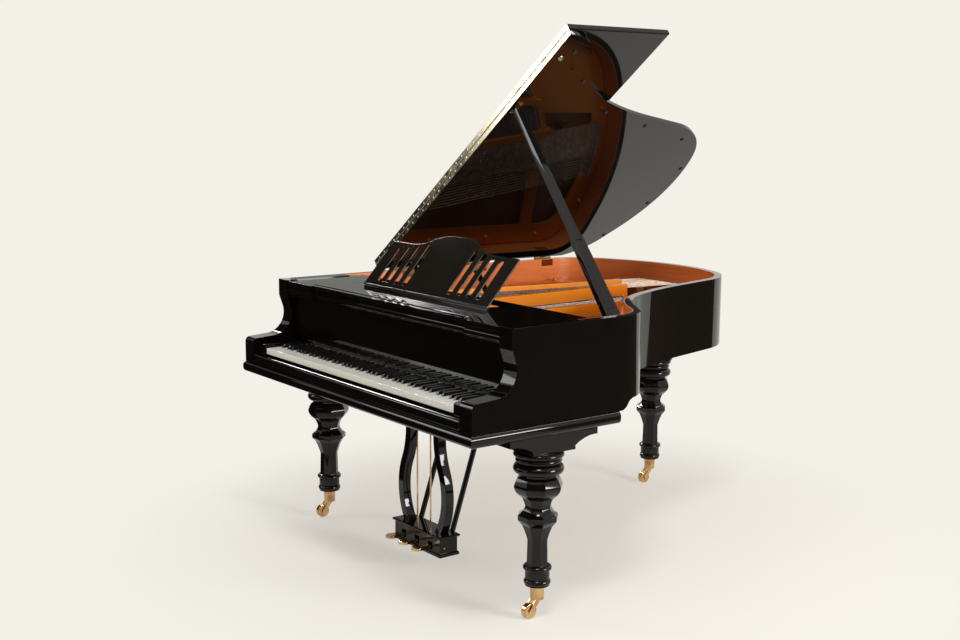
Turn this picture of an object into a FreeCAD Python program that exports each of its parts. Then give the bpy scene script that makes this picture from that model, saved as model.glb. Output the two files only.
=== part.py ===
"""Grand piano with its lid raised on the prop, as an assembly of separate pieces.

Frame: millimetres, X to the treble side, Y from the keyboard to the tail, Z up, floor at Z 0.
Places along Y are measured from the front faces of the arms and moved by FRONT at the end.
"""
import FreeCAD, Part
import math
import os
from FreeCAD import Placement, Rotation, Vector

doc = FreeCAD.newDocument("GrandPiano")
sheet = doc.addObject("Spreadsheet::Sheet", "Sizes")

# Driving dimensions: alias, value, meaning
SIZES = [
    ("case_length", 1812, "front of the arms to the end of the tail"),
    ("rim_top", 965, "height of the top edge of the rim"),
    ("rim_bottom", 690, "height of the lower edge of the curved rim"),
    ("rim_wall", 26, "thickness of the outer rim"),
    ("arm_thick", 64, "thickness of the two arms beside the keyboard"),
    ("arm_run", 430, "length of the thick part of the arms"),
    ("arm_bottom", 655, "height of the underside of the arms"),
    ("plan_length", 1812, "length of the case that the radii of the plan are given for"),
    ("corner_radius", 187, "radius of the treble corner"),
    ("corner_turn", 60.6, "turn of the treble corner"),
    ("waist_lead", 42, "straight run before the waist"),
    ("waist_radius", 534, "radius of the concave waist"),
    ("waist_turn", 37.1, "turn of the concave waist"),
    ("flank_radius", 1776, "radius of the flank behind the waist"),
    ("flank_turn", 9.9, "turn of the flank"),
    ("flank_straight", 212, "straight run of the flank"),
    ("tail_radius", 333, "radius where the flank turns into the tail"),
    ("tail_turn", 54.3, "turn from flank to tail"),
    ("end_turn", 46, "turn of the tail end"),
    ("tail_straight", 79, "straight run before the corner at the spine"),
    ("spine_radius", 224, "radius of the corner at the spine"),
    ("nose_height", 78, "straight front of the arm under its nose"),
    ("nose_radius", 18, "radius of the nose of the arm"),
    ("arm_flat", 76, "flat top of the arm behind the nose"),
    ("arm_slope", 4, "slope of the flat top"),
    ("scoop_radius", 80, "radius of the scoop of the arm"),
    ("scoop_over", 20, "how far the scoop leans back over"),
    ("scoop_lip", 35, "straight lip above the scoop"),
    ("lip_radius", 34, "radius above the lip"),
    ("belly_ogee_turn", 55, "turn of the ogee under the rim"),
    ("veneer", 3, "inner facing of the rim"),
    ("ledge_width", 45, "width of the inner rim under the soundboard"),
    ("keybed_thick", 40, "thickness of the keybed"),
    ("bead_out", 8, "how far the keybed moulding stands out"),
    ("bead_width", 48, "width of the keybed moulding"),
    ("bead_run", 590, "how far back the moulding runs on the sides"),
    ("bead_round", 15, "rounding of the moulding"),
    ("seat_gap", 0.3, "clearance between pieces that rest close together"),
    ("running_fit", 0.05, "radial clearance of pins in bores"),
]
SIZES += [
    ("soundboard_z", 828, "underside of the soundboard"),
    ("soundboard_thick", 9, "thickness of the soundboard"),
    ("belly_y", 560, "front face of the belly rail"),
    ("belly_thick", 22, "thickness of the belly rail"),
    ("post_size", 70, "section of the back posts"),
    ("bass_post_x", -430, "bass back post at the belly rail"),
    ("bass_post_run", 0.07, "sideways run of the bass back post per length"),
    ("middle_post_x", -60, "middle back post at the belly rail"),
    ("middle_post_run", -0.07, "sideways run of the middle back post per length"),
    ("treble_post_x", 260, "treble back post at the belly rail"),
    ("treble_post_run", -0.15, "sideways run of the treble back post per length"),
    ("rib_count", 9, "number of soundboard ribs"),
    ("rib_width", 24, "width of a rib"),
    ("rib_height", 20, "height of a rib"),
    ("web_y", 240, "front edge of the plate and the pin block"),
    ("web_back", 448, "back edge of the plate's front web"),
    ("plate_z", 858, "underside of the iron plate"),
    ("plate_thick", 12, "thickness of the iron plate"),
    ("plate_gap", 4, "gap between the plate and the inner facing"),
    ("flange_width", 85, "width of the plate's rim flange"),
    ("strut_z", 888, "underside of the plate's struts"),
    ("over_strut_z", 914, "underside of the strut that crosses over the tenor strings"),
    ("strut_top", 933, "height of the tops of the struts"),
    ("strut_width", 26, "width of a strut"),
    ("pin_block_thick", 32, "thickness of the pin block"),
    ("note_count", 88, "number of notes"),
    ("bass_notes", 20, "notes with wound strings"),
    ("section_notes", 23, "most notes in one plain section"),
    ("section_break", 44, "gap in the strings beside a strut"),
    ("scale_half", 592, "half of the width of the strings at the web"),
    ("plain_z", 884, "height of the plain strings"),
    ("wound_z", 894, "height of the wound strings"),
    ("plain_wire", 1.2, "thickness of a plain string"),
    ("wound_wire", 3.6, "thickness of a wound string"),
    ("bass_slant", 0.167, "sideways run of the bass strings per length"),
    ("tenor_slant", 0.06, "sideways run of the lowest tenor string per length"),
    ("bridge_width", 32, "width of the bridges"),
    ("bridge_x", 596, "treble end of the long bridge"),
    ("bridge_y", 622, "treble end of the long bridge behind the front of the arms"),
    ("bridge_heading", 158, "heading of the long bridge at its treble end"),
    ("bridge_bow_radius", 1000, "radius of the long bridge's treble part"),
    ("bridge_bow_turn", 25, "turn of that part"),
    ("bridge_straight", 420, "straight part of the long bridge"),
    ("bridge_tail_radius", 420, "radius of the long bridge's tenor part"),
    ("bridge_tail_turn", 30, "turn of that part"),
    ("bridge_end", 60, "straight end of the long bridge"),
    ("bass_bridge_in", 252, "bass bridge in front of the end of the tail"),
    ("bass_bridge_skew", 40, "skew of the bass bridge"),
    ("hitch_offset", 110, "hitch pins behind the long bridge"),
    ("panel_front", 85, "front edge of the hitch panel behind the long bridge"),
    ("panel_back", 150, "back edge of the hitch panel behind the long bridge"),
    ("tuning_pin", 7, "thickness of a tuning pin"),
    ("tuning_pin_top", 906, "height of the tops of the tuning pins"),
    ("pin_row_y", 300, "first row of tuning pins"),
    ("pin_row_step", 34, "distance between rows of tuning pins"),
    ("pin_rows", 3, "rows of tuning pins"),
    ("white_top", 721, "height of the tops of the white keys"),
    ("white_thick", 22, "height of a key"),
    ("white_pitch", 23.5, "distance between white keys"),
    ("white_count", 52, "number of white keys"),
    ("key_gap", 1.1, "gap between keys"),
    ("key_front", 24, "front ends of the white keys"),
    ("key_head", 51, "length of the wide heads of the white keys"),
    ("key_back", 470, "back ends of the keys"),
    ("sharp_rise", 11, "height of the sharps above the white keys"),
    ("sharp_front", 77, "front ends of the sharps"),
    ("sharp_bevel", 1.6, "side taper of a sharp"),
    ("sharp_slope", 8, "slope at the front end of a sharp"),
    ("sharp_back", 176, "back end of the raised part of a sharp"),
    ("balance_y", 240, "balance rail"),
    ("balance_rod", 5, "radius of the balance rail's rod"),
    ("shift_room", 4, "room beside the keys for the sideways shift"),
    ("cheek_width", 61, "width of the cheek blocks"),
    ("slat_count", 5, "slats of the key frame"),
    ("hammer_y", 385, "axis of the hammers"),
    ("hammer_z", 795, "height of the hammers' axis"),
    ("hammer_rod", 4, "radius of the rod that carries the hammers"),
    ("shank_length", 126, "length of a hammer shank"),
    ("shank_size", 5, "section of a hammer shank"),
    ("hammer_top", 838, "height of the hammer heads at rest"),
    ("hammer_width", 8, "width of a hammer head"),
    ("hammer_depth", 22, "depth of a hammer head at its root"),
    ("damped_notes", 66, "notes that have a damper"),
    ("damper_y", 528, "front ends of the damper heads"),
    ("damper_length", 40, "length of a damper head"),
    ("damper_width", 8, "width of a damper head"),
    ("damper_height", 11, "height of a damper head"),
    ("damper_rail_z", 782, "underside of the damper lift rail"),
]
SIZES += [
    ("slip_thick", 20, "thickness of the key slip"),
    ("slip_top", 692, "height of the key slip"),
    ("cheek_top", 734, "height of the cheek blocks"),
    ("fall_y", 190, "axis of the fallboard"),
    ("fall_z", 746, "height of the fallboard's axis"),
    ("fall_thick", 18, "thickness of the fallboard"),
    ("fall_reach", 156, "height of the fallboard above its axis"),
    ("fall_pin", 4, "radius of the fallboard's pins"),
    ("fall_pin_length", 16, "length of the fallboard's pins"),
    ("shelf_front", 160, "front edge of the music shelf"),
    ("shelf_back", 495, "back edge of the music shelf"),
    ("shelf_half", 488, "half of the width of the music shelf"),
    ("shelf_z", 946, "underside of the music shelf"),
    ("shelf_thick", 16, "thickness of the music shelf"),
    ("shelf_rail", 42, "depth of the moulded rail under the shelf's front"),
    ("shelf_rail_thick", 18, "thickness of that rail"),
    ("shelf_hole_half", 330, "half of the width of the shelf's opening"),
    ("shelf_hole_front", 346, "front of the shelf's opening"),
    ("shelf_hole_back", 478, "back of the shelf's opening"),
    ("board_front", 148, "front edge of the fixed side boards"),
    ("runner_width", 20, "width of the runners under the shelf"),
    ("desk_y", 318.4, "hinge of the music desk"),
    ("desk_z", 964.2, "height of the desk's hinge"),
    ("desk_rod", 2, "radius of the desk's hinge rod"),
    ("desk_lean", 41.4, "lean of the music desk from upright"),
    ("desk_half", 386, "half of the width of the music desk"),
    ("desk_side", 209, "height of the desk at its sides"),
    ("desk_crest", 264, "height of the desk at its middle"),
    ("crest_half", 40, "half of the flat of the crest"),
    ("crest_run", 210, "run of the curve beside the crest"),
    ("desk_thick", 5, "thickness of the music desk"),
    ("desk_ledge", 5, "depth of the ledge that holds the music"),
    ("slot_count", 4, "slots in each half of the desk"),
    ("slot_width", 25, "width of a slot"),
    ("slot_pitch", 55, "distance between slots"),
    ("slot_first", 141, "distance of the first slot from the middle"),
    ("slot_low", 41, "lower end of the slots"),
    ("slot_follow", 0.8, "how far the slots follow the crest, as a share"),
    ("stay_x", 200, "place of the two stays behind the desk"),
    ("stay_up", 140, "height of the stay's hinge on the desk"),
    ("stay_out", 8, "distance of the stay's hinge behind the desk"),
    ("stay_width", 22, "width of a stay"),
    ("stay_thick", 8, "thickness of a stay"),
    ("stay_pin", 2.5, "radius of the stay's pin"),
    ("stay_foot_z", 957, "height of the stay's foot"),
    ("lid_z", 969, "height of the lid's underside when closed"),
    ("lid_thick", 20, "thickness of the lid"),
    ("lid_overhang", 10, "overhang of the lid"),
    ("lid_front", 604, "front edge of the main lid"),
    ("lid_angle", 36.6, "opening of the lid on its prop"),
    ("lid_round", 6, "rounding of the lid's upper edge"),
    ("flap_depth", 461, "depth of the front flap"),
    ("flap_gap", 2.6, "gap between the folded flap and the lid"),
    ("leaf_thick", 1.5, "thickness of hinge leaves"),
    ("flap_pin", 0.9, "radius of the flap hinge's pin"),
    ("lid_hinge_out", 5, "distance of the lid's hinge axis from the case"),
    ("lid_hinge_radius", 4, "radius of the lid hinges"),
    ("lid_hinge_length", 90, "length of a lid hinge"),
    ("lid_hinge_count", 3, "number of lid hinges"),
    ("lid_hinge_first", 690, "front end of the first lid hinge"),
    ("lid_hinge_step", 370, "distance between lid hinges"),
    ("prop_x", 665, "pivot of the lid prop"),
    ("prop_z", 938, "height of the prop's pivot"),
    ("prop_y", 626, "middle of the prop"),
    ("prop_past", 1, "lean of the prop past square to the lid"),
    ("prop_wide", 62, "width of the prop's foot"),
    ("prop_mid", 48, "width of the prop at its shoulder"),
    ("prop_narrow", 32, "width of the prop above its shoulder"),
    ("prop_tip", 22, "width of the prop at its tip"),
    ("prop_thick", 20, "thickness of the prop"),
    ("prop_shoulder", 311, "height of the prop's shoulder"),
    ("prop_pin", 4, "radius of the prop's pivot pin"),
    ("cup_thick", 3, "thickness of the plate that the prop bears on"),
    ("half_length", 262, "length of the half prop"),
    ("half_width", 24, "width of the half prop"),
    ("half_thick", 9, "thickness of the half prop"),
    ("half_foot", 44, "height of the half prop's pivot"),
    ("half_pin", 2.5, "radius of the half prop's pin"),
]
SIZES += [
    ("leg_x", 663, "distance of the front legs from the middle"),
    ("leg_y", 319, "front legs behind the front of the arms"),
    ("tail_leg_x", -280, "tail leg"),
    ("tail_leg_in", 90, "tail leg in front of the end of the tail"),
    ("leg_top", 551, "height of the tops of the legs"),
    ("block_half_x", 60, "half of the width of a leg block"),
    ("block_half_top", 178, "half of the length of a leg block at its top"),
    ("block_half_foot", 86, "half of the length of a leg block at its foot"),
    ("block_back", 16, "middle of a front leg block behind its leg"),
    ("block_foot", 11, "thickness of the leg block's foot plate"),
    ("block_band", 26, "height of the leg block's upper band"),
    ("disc_high", 19, "height of the disc on top of a leg"),
    ("reed_high", 20, "height of the reed under the disc"),
    ("ring_high", 34, "height of the ring under the reed"),
    ("neck_high", 7, "height of the neck above the bulb"),
    ("bulb_rise", 33, "bulb from its neck to its widest part"),
    ("bulb_fall", 66, "bulb from its widest part to the waist"),
    ("cove_high", 32, "cove from the waist out to the collar"),
    ("collar_high", 15, "height of the collar's edge"),
    ("flare_high", 66, "flare from the collar in to the shaft"),
    ("ankle_high", 18, "height of the ankle ring"),
    ("ankle_neck_high", 26, "height of the neck under the ankle ring"),
    ("foot_high", 24, "height of the foot ring"),
    ("disc_radius", 82, "radius of the disc on top of a leg"),
    ("reed_radius", 75, "radius of the reed under the disc"),
    ("ring_radius", 82, "radius of the ring under the reed"),
    ("groove_radius", 67, "radius of the grooves between disc, reed and ring"),
    ("neck_radius", 61, "radius of the neck above the bulb"),
    ("bulb_radius", 81, "radius of the eight-sided bulb"),
    ("waist_leg_radius", 43, "radius of the eight-sided waist of a leg"),
    ("collar_radius", 67, "radius of the eight-sided collar"),
    ("shaft_radius", 34, "radius of the shaft under its flare"),
    ("shaft_foot_radius", 36, "radius of the shaft above the ankle"),
    ("ankle_radius", 47, "radius of the round ankle ring"),
    ("ankle_neck_radius", 40, "radius of the neck under the ankle ring"),
    ("foot_radius", 44, "radius of the foot ring"),
    ("leg_foot", 107, "height of the foot of a leg"),
    ("ferrule_bottom", 66, "height of the lower edge of the ferrules"),
    ("ferrule_top_radius", 24, "radius of the ferrule at its top"),
    ("ferrule_radius", 22, "radius of the ferrule at its foot"),
    ("stem_radius", 7, "radius of the caster's stem"),
    ("stem_length", 26, "length of the caster's stem"),
    ("wheel_radius", 25, "radius of a caster wheel"),
    ("wheel_width", 20, "width of a caster wheel"),
    ("wheel_trail", 33, "how far a wheel trails behind its stem"),
    ("axle_radius", 4, "radius of a caster axle"),
    ("fork_wall", 4, "thickness of the fork's cheeks"),
    ("fork_crown", 6, "thickness of the fork's crown"),
    ("lyre_y", 336, "middle of the lyre posts"),
    ("lyre_post", 33, "section of the lyre posts"),
    ("lyre_top_x", 88, "lyre posts at their tops"),
    ("lyre_head_thick", 24, "thickness of the lyre's head"),
    ("lyre_head_half", 124, "half of the width of the lyre's head"),
    ("lyre_bow_radius", 300, "upper bow of the lyre posts"),
    ("lyre_belly_radius", 230, "lower bow of the lyre posts"),
    ("lyre_bow_turn", 25, "turn of the upper bow"),
    ("lyre_belly_turn", 60, "turn of the lower bow"),
    ("box_front", 298, "front face of the pedal box"),
    ("box_depth", 76, "depth of the pedal box"),
    ("box_half", 145, "half of the width of the pedal box"),
    ("box_bottom", 50, "underside of the pedal box"),
    ("box_height", 72, "height of the pedal box"),
    ("pedal_pitch", 85, "distance between pedals"),
    ("pedal_tip_y", 222, "tips of the pedals"),
    ("pedal_axis_y", 318, "axis of the pedals"),
    ("pedal_z", 82, "middle of the pedals' thickness"),
    ("pedal_thick", 10, "thickness of a pedal"),
    ("pedal_bar", 20, "width of a pedal inside the box"),
    ("pedal_pad", 42, "width of the pad of a pedal"),
    ("pedal_pad_length", 62, "length of the pad of a pedal"),
    ("pedal_pin", 3, "radius of the pedals' pivot rod"),
    ("pedal_room", 3, "room beside and behind a pedal in its slot"),
    ("pedal_swing_room", 14, "room above and below a pedal in its slot"),
    ("rod_y", 358, "pedal rods"),
    ("rod_radius", 3, "radius of a pedal rod"),
    ("rod_top", 648, "tops of the pedal rods"),
    ("rod_lift_gap", 0.6, "gap between a pedal and its rod"),
    ("rod_clearance", 0.6, "radial room around a rod in wood"),
    ("brace_x", 100, "lyre braces"),
    ("brace_radius", 10, "radius of a lyre brace"),
    ("brace_foot_z", 132, "lower ends of the lyre braces"),
    ("brace_head_y", 546, "upper ends of the lyre braces"),
    ("case_width", "=white_count * white_pitch + 2 * (shift_room + cheek_width + arm_thick)",
     "outer width of the case at the keyboard"),
]

for row, (alias, value, note) in enumerate(SIZES, start=1):
    sheet.set("A%d" % row, note)
    sheet.set("B%d" % row, str(value))
    sheet.setAlias("B%d" % row, alias)
doc.recompute()
FRONT_EXPR = "((Sizes.bead_out - Sizes.lid_overhang - Sizes.case_length) / 2)"
parts = {}


def size(alias):
    return float(sheet.get(alias))


FRONT = (size("bead_out") - size("lid_overhang") - size("case_length")) / 2
HALF = size("case_width") / 2
KEYBED_Z = size("arm_bottom") - size("keybed_thick")
GAP = size("seat_gap")
FIT = size("running_fit")
BEYOND = size("case_width")


# Geometry helpers
def direction(angle):
    return Vector(math.cos(math.radians(angle)), math.sin(math.radians(angle)), 0)


def walk(start, heading, steps):
    """Tangent run of straights (length, 0) and arcs (radius, turn), a left turn being positive."""
    run = []
    here = Vector(start[0], start[1], 0)
    for reach, turn in steps:
        if turn == 0:
            there = here + direction(heading) * reach
            if reach:
                run.append(Part.LineSegment(here, there))
        else:
            side = math.copysign(90, turn)
            centre = here + direction(heading + side) * reach
            middle = centre + direction(heading - side + turn / 2) * reach
            there = centre + direction(heading - side + turn) * reach
            run.append(Part.Arc(here, middle, there))
            heading += turn
        here = there
    return run, here, heading


def closed(run, *corners):
    """Close a run of geometry through the given corners."""
    points = [run[-1].EndPoint] + [Vector(x, y, 0) for x, y in corners] + [run[0].StartPoint]
    lines = [Part.LineSegment(a, b) for a, b in zip(points, points[1:]) if (b - a).Length > 1e-6]
    return run + lines


def polygon(*corners):
    points = [Vector(x, y, 0) for x, y in corners]
    return [Part.LineSegment(a, b) for a, b in zip(points, points[1:] + points[:1])]


def face(outline):
    return Part.Face(Part.Wire(Part.__sortEdges__([item.toShape() for item in outline])))


def prism_z(outline, low, high):
    flat = face(outline)
    flat.translate(Vector(0, 0, low))
    return flat.extrude(Vector(0, 0, high - low))


def prism_x(outline, low, high):
    """Outline drawn as (y, z), extruded along X."""
    flat = face(outline)
    flat.Placement = Placement(Vector(low, 0, 0), Rotation(Vector(1, 1, 1), 120))
    return flat.extrude(Vector(high - low, 0, 0))


def prism_y(outline, low, high):
    """Outline drawn as (x, z), extruded along Y."""
    flat = face(outline)
    flat.Placement = Placement(Vector(0, low, 0), Rotation(Vector(1, 0, 0), 90))
    return flat.extrude(Vector(0, high - low, 0))


def block(x0, x1, y0, y1, z0, z1):
    return Part.makeBox(x1 - x0, y1 - y0, z1 - z0, Vector(x0, y0, z0))


def rod_x(radius, x0, x1, y, z):
    return Part.makeCylinder(radius, x1 - x0, Vector(x0, y, z), Vector(1, 0, 0))


def rod_y(radius, y0, y1, x, z):
    return Part.makeCylinder(radius, y1 - y0, Vector(x, y0, z), Vector(0, 1, 0))


def rod_z(radius, z0, z1, x, y):
    return Part.makeCylinder(radius, z1 - z0, Vector(x, y, z0))


def bar(start, end, width, height):
    """Square bar whose middle line runs from start to end."""
    along = end - start
    solid = Part.makeBox(along.Length, width, height, Vector(0, -width / 2, -height / 2))
    solid.Placement = Placement(start, Rotation(Vector(1, 0, 0), along))
    return solid


def seat(label, shape, placement=Placement()):
    """Add a finished shape as a sub-part of the document."""
    item = doc.addObject("Part::Feature", label)
    item.Label = label
    item.Shape = shape
    item.Placement = Placement(Vector(0, FRONT, 0), Rotation()).multiply(placement)
    parts[label] = item
    return item


def box(label, x, y, z, length, width, height):
    """Box whose corner and sides are expressions over the sheet; y counts from the arms' fronts."""
    item = doc.addObject("Part::Box", label)
    item.setExpression("Length", length)
    item.setExpression("Width", width)
    item.setExpression("Height", height)
    item.setExpression(".Placement.Base.x", x)
    item.setExpression(".Placement.Base.y", "%s + %s" % (FRONT_EXPR, y))
    item.setExpression(".Placement.Base.z", z)
    return item


def turned(label, profile, x, y):
    """Body turned about an upright axis from a sketched half profile of (radius, z) points."""
    body = doc.addObject("PartDesign::Body", label)
    body.Label = label
    sketch = body.newObject("Sketcher::SketchObject", label + "_profile")
    plane = [item for item in body.Origin.OriginFeatures if item.Role == "XZ_Plane"][0]
    sketch.AttachmentSupport = (plane, [""])
    sketch.MapMode = "FlatFace"
    for item in profile:
        sketch.addGeometry(item, False)
    turn = body.newObject("PartDesign::Revolution", label + "_turning")
    turn.Profile = sketch
    turn.ReferenceAxis = (sketch, ["V_Axis"])
    turn.Angle = 360
    body.Placement.Base.x = x
    body.Placement.Base.y = FRONT + y
    return body


# Plan outline of the case, at an offset outwards from the rim's outer face
PLAN = size("case_length") / size("plan_length")


def outline_steps(offset, straight, end_radius):
    turned_so_far = (size("corner_turn") - size("waist_turn") - size("flank_turn")
                     + size("tail_turn") + size("end_turn"))
    return [
        (straight, 0),
        (size("corner_radius") * PLAN + offset, size("corner_turn")),
        (size("waist_lead") * PLAN, 0),
        (size("waist_radius") * PLAN - offset, -size("waist_turn")),
        (size("flank_radius") * PLAN - offset, -size("flank_turn")),
        (size("flank_straight") * PLAN, 0),
        (size("tail_radius") * PLAN + offset, size("tail_turn")),
        (end_radius + offset, size("end_turn")),
        (size("tail_straight") * PLAN, 0),
        (size("spine_radius") * PLAN + offset, 180 - turned_so_far),
    ]


def tail_end():
    """Radius of the tail end that closes the width, and the treble straight that closes the length."""
    start = (HALF, 0)
    reach = [walk(start, 90, outline_steps(0, 0, trial))[1].x for trial in (HALF, 2 * HALF)]
    radius = HALF + HALF * (-HALF - reach[0]) / (reach[1] - reach[0])
    run, here, heading = walk(start, 90, outline_steps(0, 0, radius)[:7])
    crown = here.y + radius * (1 + math.sin(math.radians(heading + 90)))
    return radius, size("case_length") - crown


END_RADIUS, TREBLE_STRAIGHT = tail_end()


def case_outline(offset, front):
    steps = outline_steps(offset, TREBLE_STRAIGHT - front, END_RADIUS)
    run, here, heading = walk((HALF + offset, front), 90, steps)
    return closed(run, (-HALF - offset, front))


# Outer rim with the two arms
INNER = -size("rim_wall")
FACED = INNER - size("veneer")
ARM_INSIDE = HALF - size("arm_thick")


def arm_cut():
    """Everything in front of and above the scooped profile of the arms, as (y, z)."""
    run, here, heading = walk((0, size("arm_bottom")), 90, [
        (size("nose_height"), 0),
        (size("nose_radius"), size("arm_slope") - 90),
        (size("arm_flat"), 0),
        (size("scoop_radius"), 90 - size("arm_slope") + size("scoop_over")),
        (size("scoop_lip"), 0),
        (size("lip_radius"), -size("scoop_over")),
    ])
    above = size("rim_top") + size("arm_thick")
    ahead = -size("arm_thick")
    return closed(run, (here.x, above), (ahead, above), (ahead, size("arm_bottom")))


def rim_undercut():
    """The ogee step between the arms and the higher curved rim, as (y, z)."""
    rise = size("rim_bottom") - size("arm_bottom")
    turn = size("belly_ogee_turn")
    radius = rise / 2 / (1 - math.cos(math.radians(turn)))
    run, here, heading = walk((TREBLE_STRAIGHT, size("arm_bottom")), 0,
                              [(radius, turn), (radius, -turn)])
    behind = size("case_length") + size("arm_thick")
    under = KEYBED_Z
    return closed(run, (behind, size("rim_bottom")), (behind, under), (TREBLE_STRAIGHT, under))


low, high = size("arm_bottom"), size("rim_top")
rim = prism_z(case_outline(0, 0), low, high)
rim = rim.cut(prism_z(case_outline(INNER, -size("arm_thick")), low, high))
for side in (-1, 1):
    inside, outside = sorted((side * ARM_INSIDE, side * (HALF + INNER)))
    rim = rim.fuse(block(inside, outside, 0, size("arm_run"), low, high))
rim = rim.removeSplitter()
rim = rim.cut(prism_x(arm_cut(), -BEYOND, BEYOND)).cut(prism_x(rim_undercut(), -BEYOND, BEYOND))
seat("outer_rim", rim)

# Inner rim: the faced wall above and the ledge that carries the soundboard
belly_back = size("belly_y") + size("belly_thick")
facing = prism_z(case_outline(INNER, size("arm_run")), size("soundboard_z"), high)
facing = facing.cut(prism_z(case_outline(FACED, -BEYOND), size("soundboard_z"), high))
ledge = prism_z(case_outline(INNER, belly_back), size("rim_bottom"), size("soundboard_z"))
ledge = ledge.cut(prism_z(case_outline(INNER - size("ledge_width"), -BEYOND), size("rim_bottom"), high))
seat("inner_rim", facing.fuse(ledge).removeSplitter())

# Belly rail and back posts under the soundboard
LEDGE_INSIDE = INNER - size("ledge_width")
inside = prism_z(case_outline(LEDGE_INSIDE, belly_back), size("rim_bottom"), size("soundboard_z"))
belly = block(-HALF - INNER, HALF + INNER, size("belly_y"), belly_back, size("arm_bottom"),
              size("soundboard_z"))
post = size("post_size")
post_top = size("rim_bottom") + post
back_frame = [belly]
for name in ("bass", "middle", "treble"):
    x = size(name + "_post_x")
    start = Vector(x, belly_back - post, size("rim_bottom") + post / 2)
    end = start + Vector(size(name + "_post_run"), 1, 0) * size("case_length")
    back_frame += bar(start, end, post, post).common(inside).Solids
seat("back_frame", Part.makeCompound(back_frame))

# Soundboard and its ribs
board_top = size("soundboard_z") + size("soundboard_thick")
board = prism_z(case_outline(FACED - GAP, belly_back - size("belly_thick")), size("soundboard_z"), board_top)
seat("soundboard", board)
ribs = []
rib_first = belly_back + size("rib_width") * 3
rib_step = (size("case_length") - rib_first - size("rib_width") * 8) / (size("rib_count") - 1)
for index in range(int(size("rib_count"))):
    y = rib_first + rib_step * index
    rib = block(-HALF, HALF, y, y + size("rib_width"), size("soundboard_z") - size("rib_height"),
                size("soundboard_z"))
    ribs += rib.common(inside).Solids
seat("soundboard_ribs", Part.makeCompound(ribs))


# String layout: place and slant of each note's string at the back edge of the plate's web
NOTES = int(size("note_count"))
BASS = int(size("bass_notes"))
SECTION = int(size("section_notes"))
BREAKS = 1 + (NOTES - BASS - 1) // SECTION
PITCH = (2 * size("scale_half") - BREAKS * size("section_break")) / (NOTES - 1 - BREAKS)


def breaks_before(note):
    return 0 if note < BASS else 1 + (note - BASS) // SECTION


def slant(note):
    if note < BASS:
        return size("bass_slant")
    return -size("tenor_slant") * (1 - (note - BASS) / (NOTES - 1 - BASS))


def string_x(note, y):
    passed = breaks_before(note)
    start = -size("scale_half") + PITCH * (note - passed) + size("section_break") * passed
    return start + slant(note) * (y - size("web_back"))


def string_z(note):
    return size("wound_z") if note < BASS else size("plain_z")


def string_wire(note):
    return size("wound_wire") if note < BASS else size("plain_wire")


# The long bridge's line, and the lines of the hitch pins behind it
def bridge_run(offset):
    """The bridge's line moved towards the tail by an offset."""
    heading = size("bridge_heading")
    aside = direction(heading - 90) * offset
    return walk((size("bridge_x") + aside.x, size("bridge_y") + aside.y), heading, [
        (size("bridge_bow_radius") - offset, -size("bridge_bow_turn")),
        (size("bridge_straight"), 0),
        (size("bridge_tail_radius") + offset, size("bridge_tail_turn")),
        (size("bridge_end"), 0),
    ])[0]


def reach_line(x0, lean, line):
    """Where a string line that starts at the web crosses a line across the case."""
    y0, y1 = size("web_back"), size("case_length")
    ray = Part.LineSegment(Vector(x0, y0, 0), Vector(x0 + lean * (y1 - y0), y1, 0)).toShape()
    gap, pairs, info = ray.distToShape(line)
    return pairs[0][0]


def as_wire(run):
    return Part.Wire([item.toShape() for item in run])


PLATE_EDGE = FACED - size("plate_gap")
FLANGE_INSIDE = PLATE_EDGE - size("flange_width")
hitch_run = bridge_run(size("hitch_offset"))
plain_hitch = as_wire(closed(hitch_run, (-HALF, hitch_run[-1].EndPoint.y))[:-1])
tail_hitch = as_wire(case_outline(PLATE_EDGE - size("flange_width") / 2, size("web_back") / 2)[:-2])
strut_hitch = as_wire(bridge_run((size("panel_front") + size("panel_back")) / 2))
over_hitch = as_wire(bridge_run(size("panel_back") - size("strut_width") / 2))


def string_end(note):
    line = tail_hitch if note < BASS else plain_hitch
    return reach_line(string_x(note, size("web_back")), slant(note), line)


# Bridges on the soundboard
plain_rest = size("plain_z") - size("plain_wire") / 2
wound_rest = size("wound_z") - size("wound_wire") / 2
half_bridge = size("bridge_width") / 2
near, far = bridge_run(-half_bridge), bridge_run(half_bridge)
bridge_ends = [Part.LineSegment(near[0].StartPoint, far[0].StartPoint),
               Part.LineSegment(near[-1].EndPoint, far[-1].EndPoint)]
long_bridge = prism_z(near + far + bridge_ends, board_top, plain_rest)
bass_y, skew = size("case_length") - size("bass_bridge_in"), size("bass_bridge_skew")
bass_middle = (board_top + wound_rest) / 2
bass_left = Vector(string_x(0, bass_y) - half_bridge, bass_y + skew, bass_middle)
bass_right = Vector(string_x(BASS - 1, bass_y) + half_bridge, bass_y - skew, bass_middle)
bass_bridge = bar(bass_left, bass_right, size("bridge_width"), wound_rest - board_top)
seat("bridges", Part.makeCompound([long_bridge, bass_bridge]))

# Pin block under the plate's web
plate_top = size("plate_z") + size("plate_thick")
block_half = ARM_INSIDE - GAP
pin_block = block(-block_half, block_half, size("web_y"), size("web_back") - size("tuning_pin"),
                  size("plate_z") - size("pin_block_thick"), size("plate_z"))
seat("pin_block", pin_block)

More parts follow.
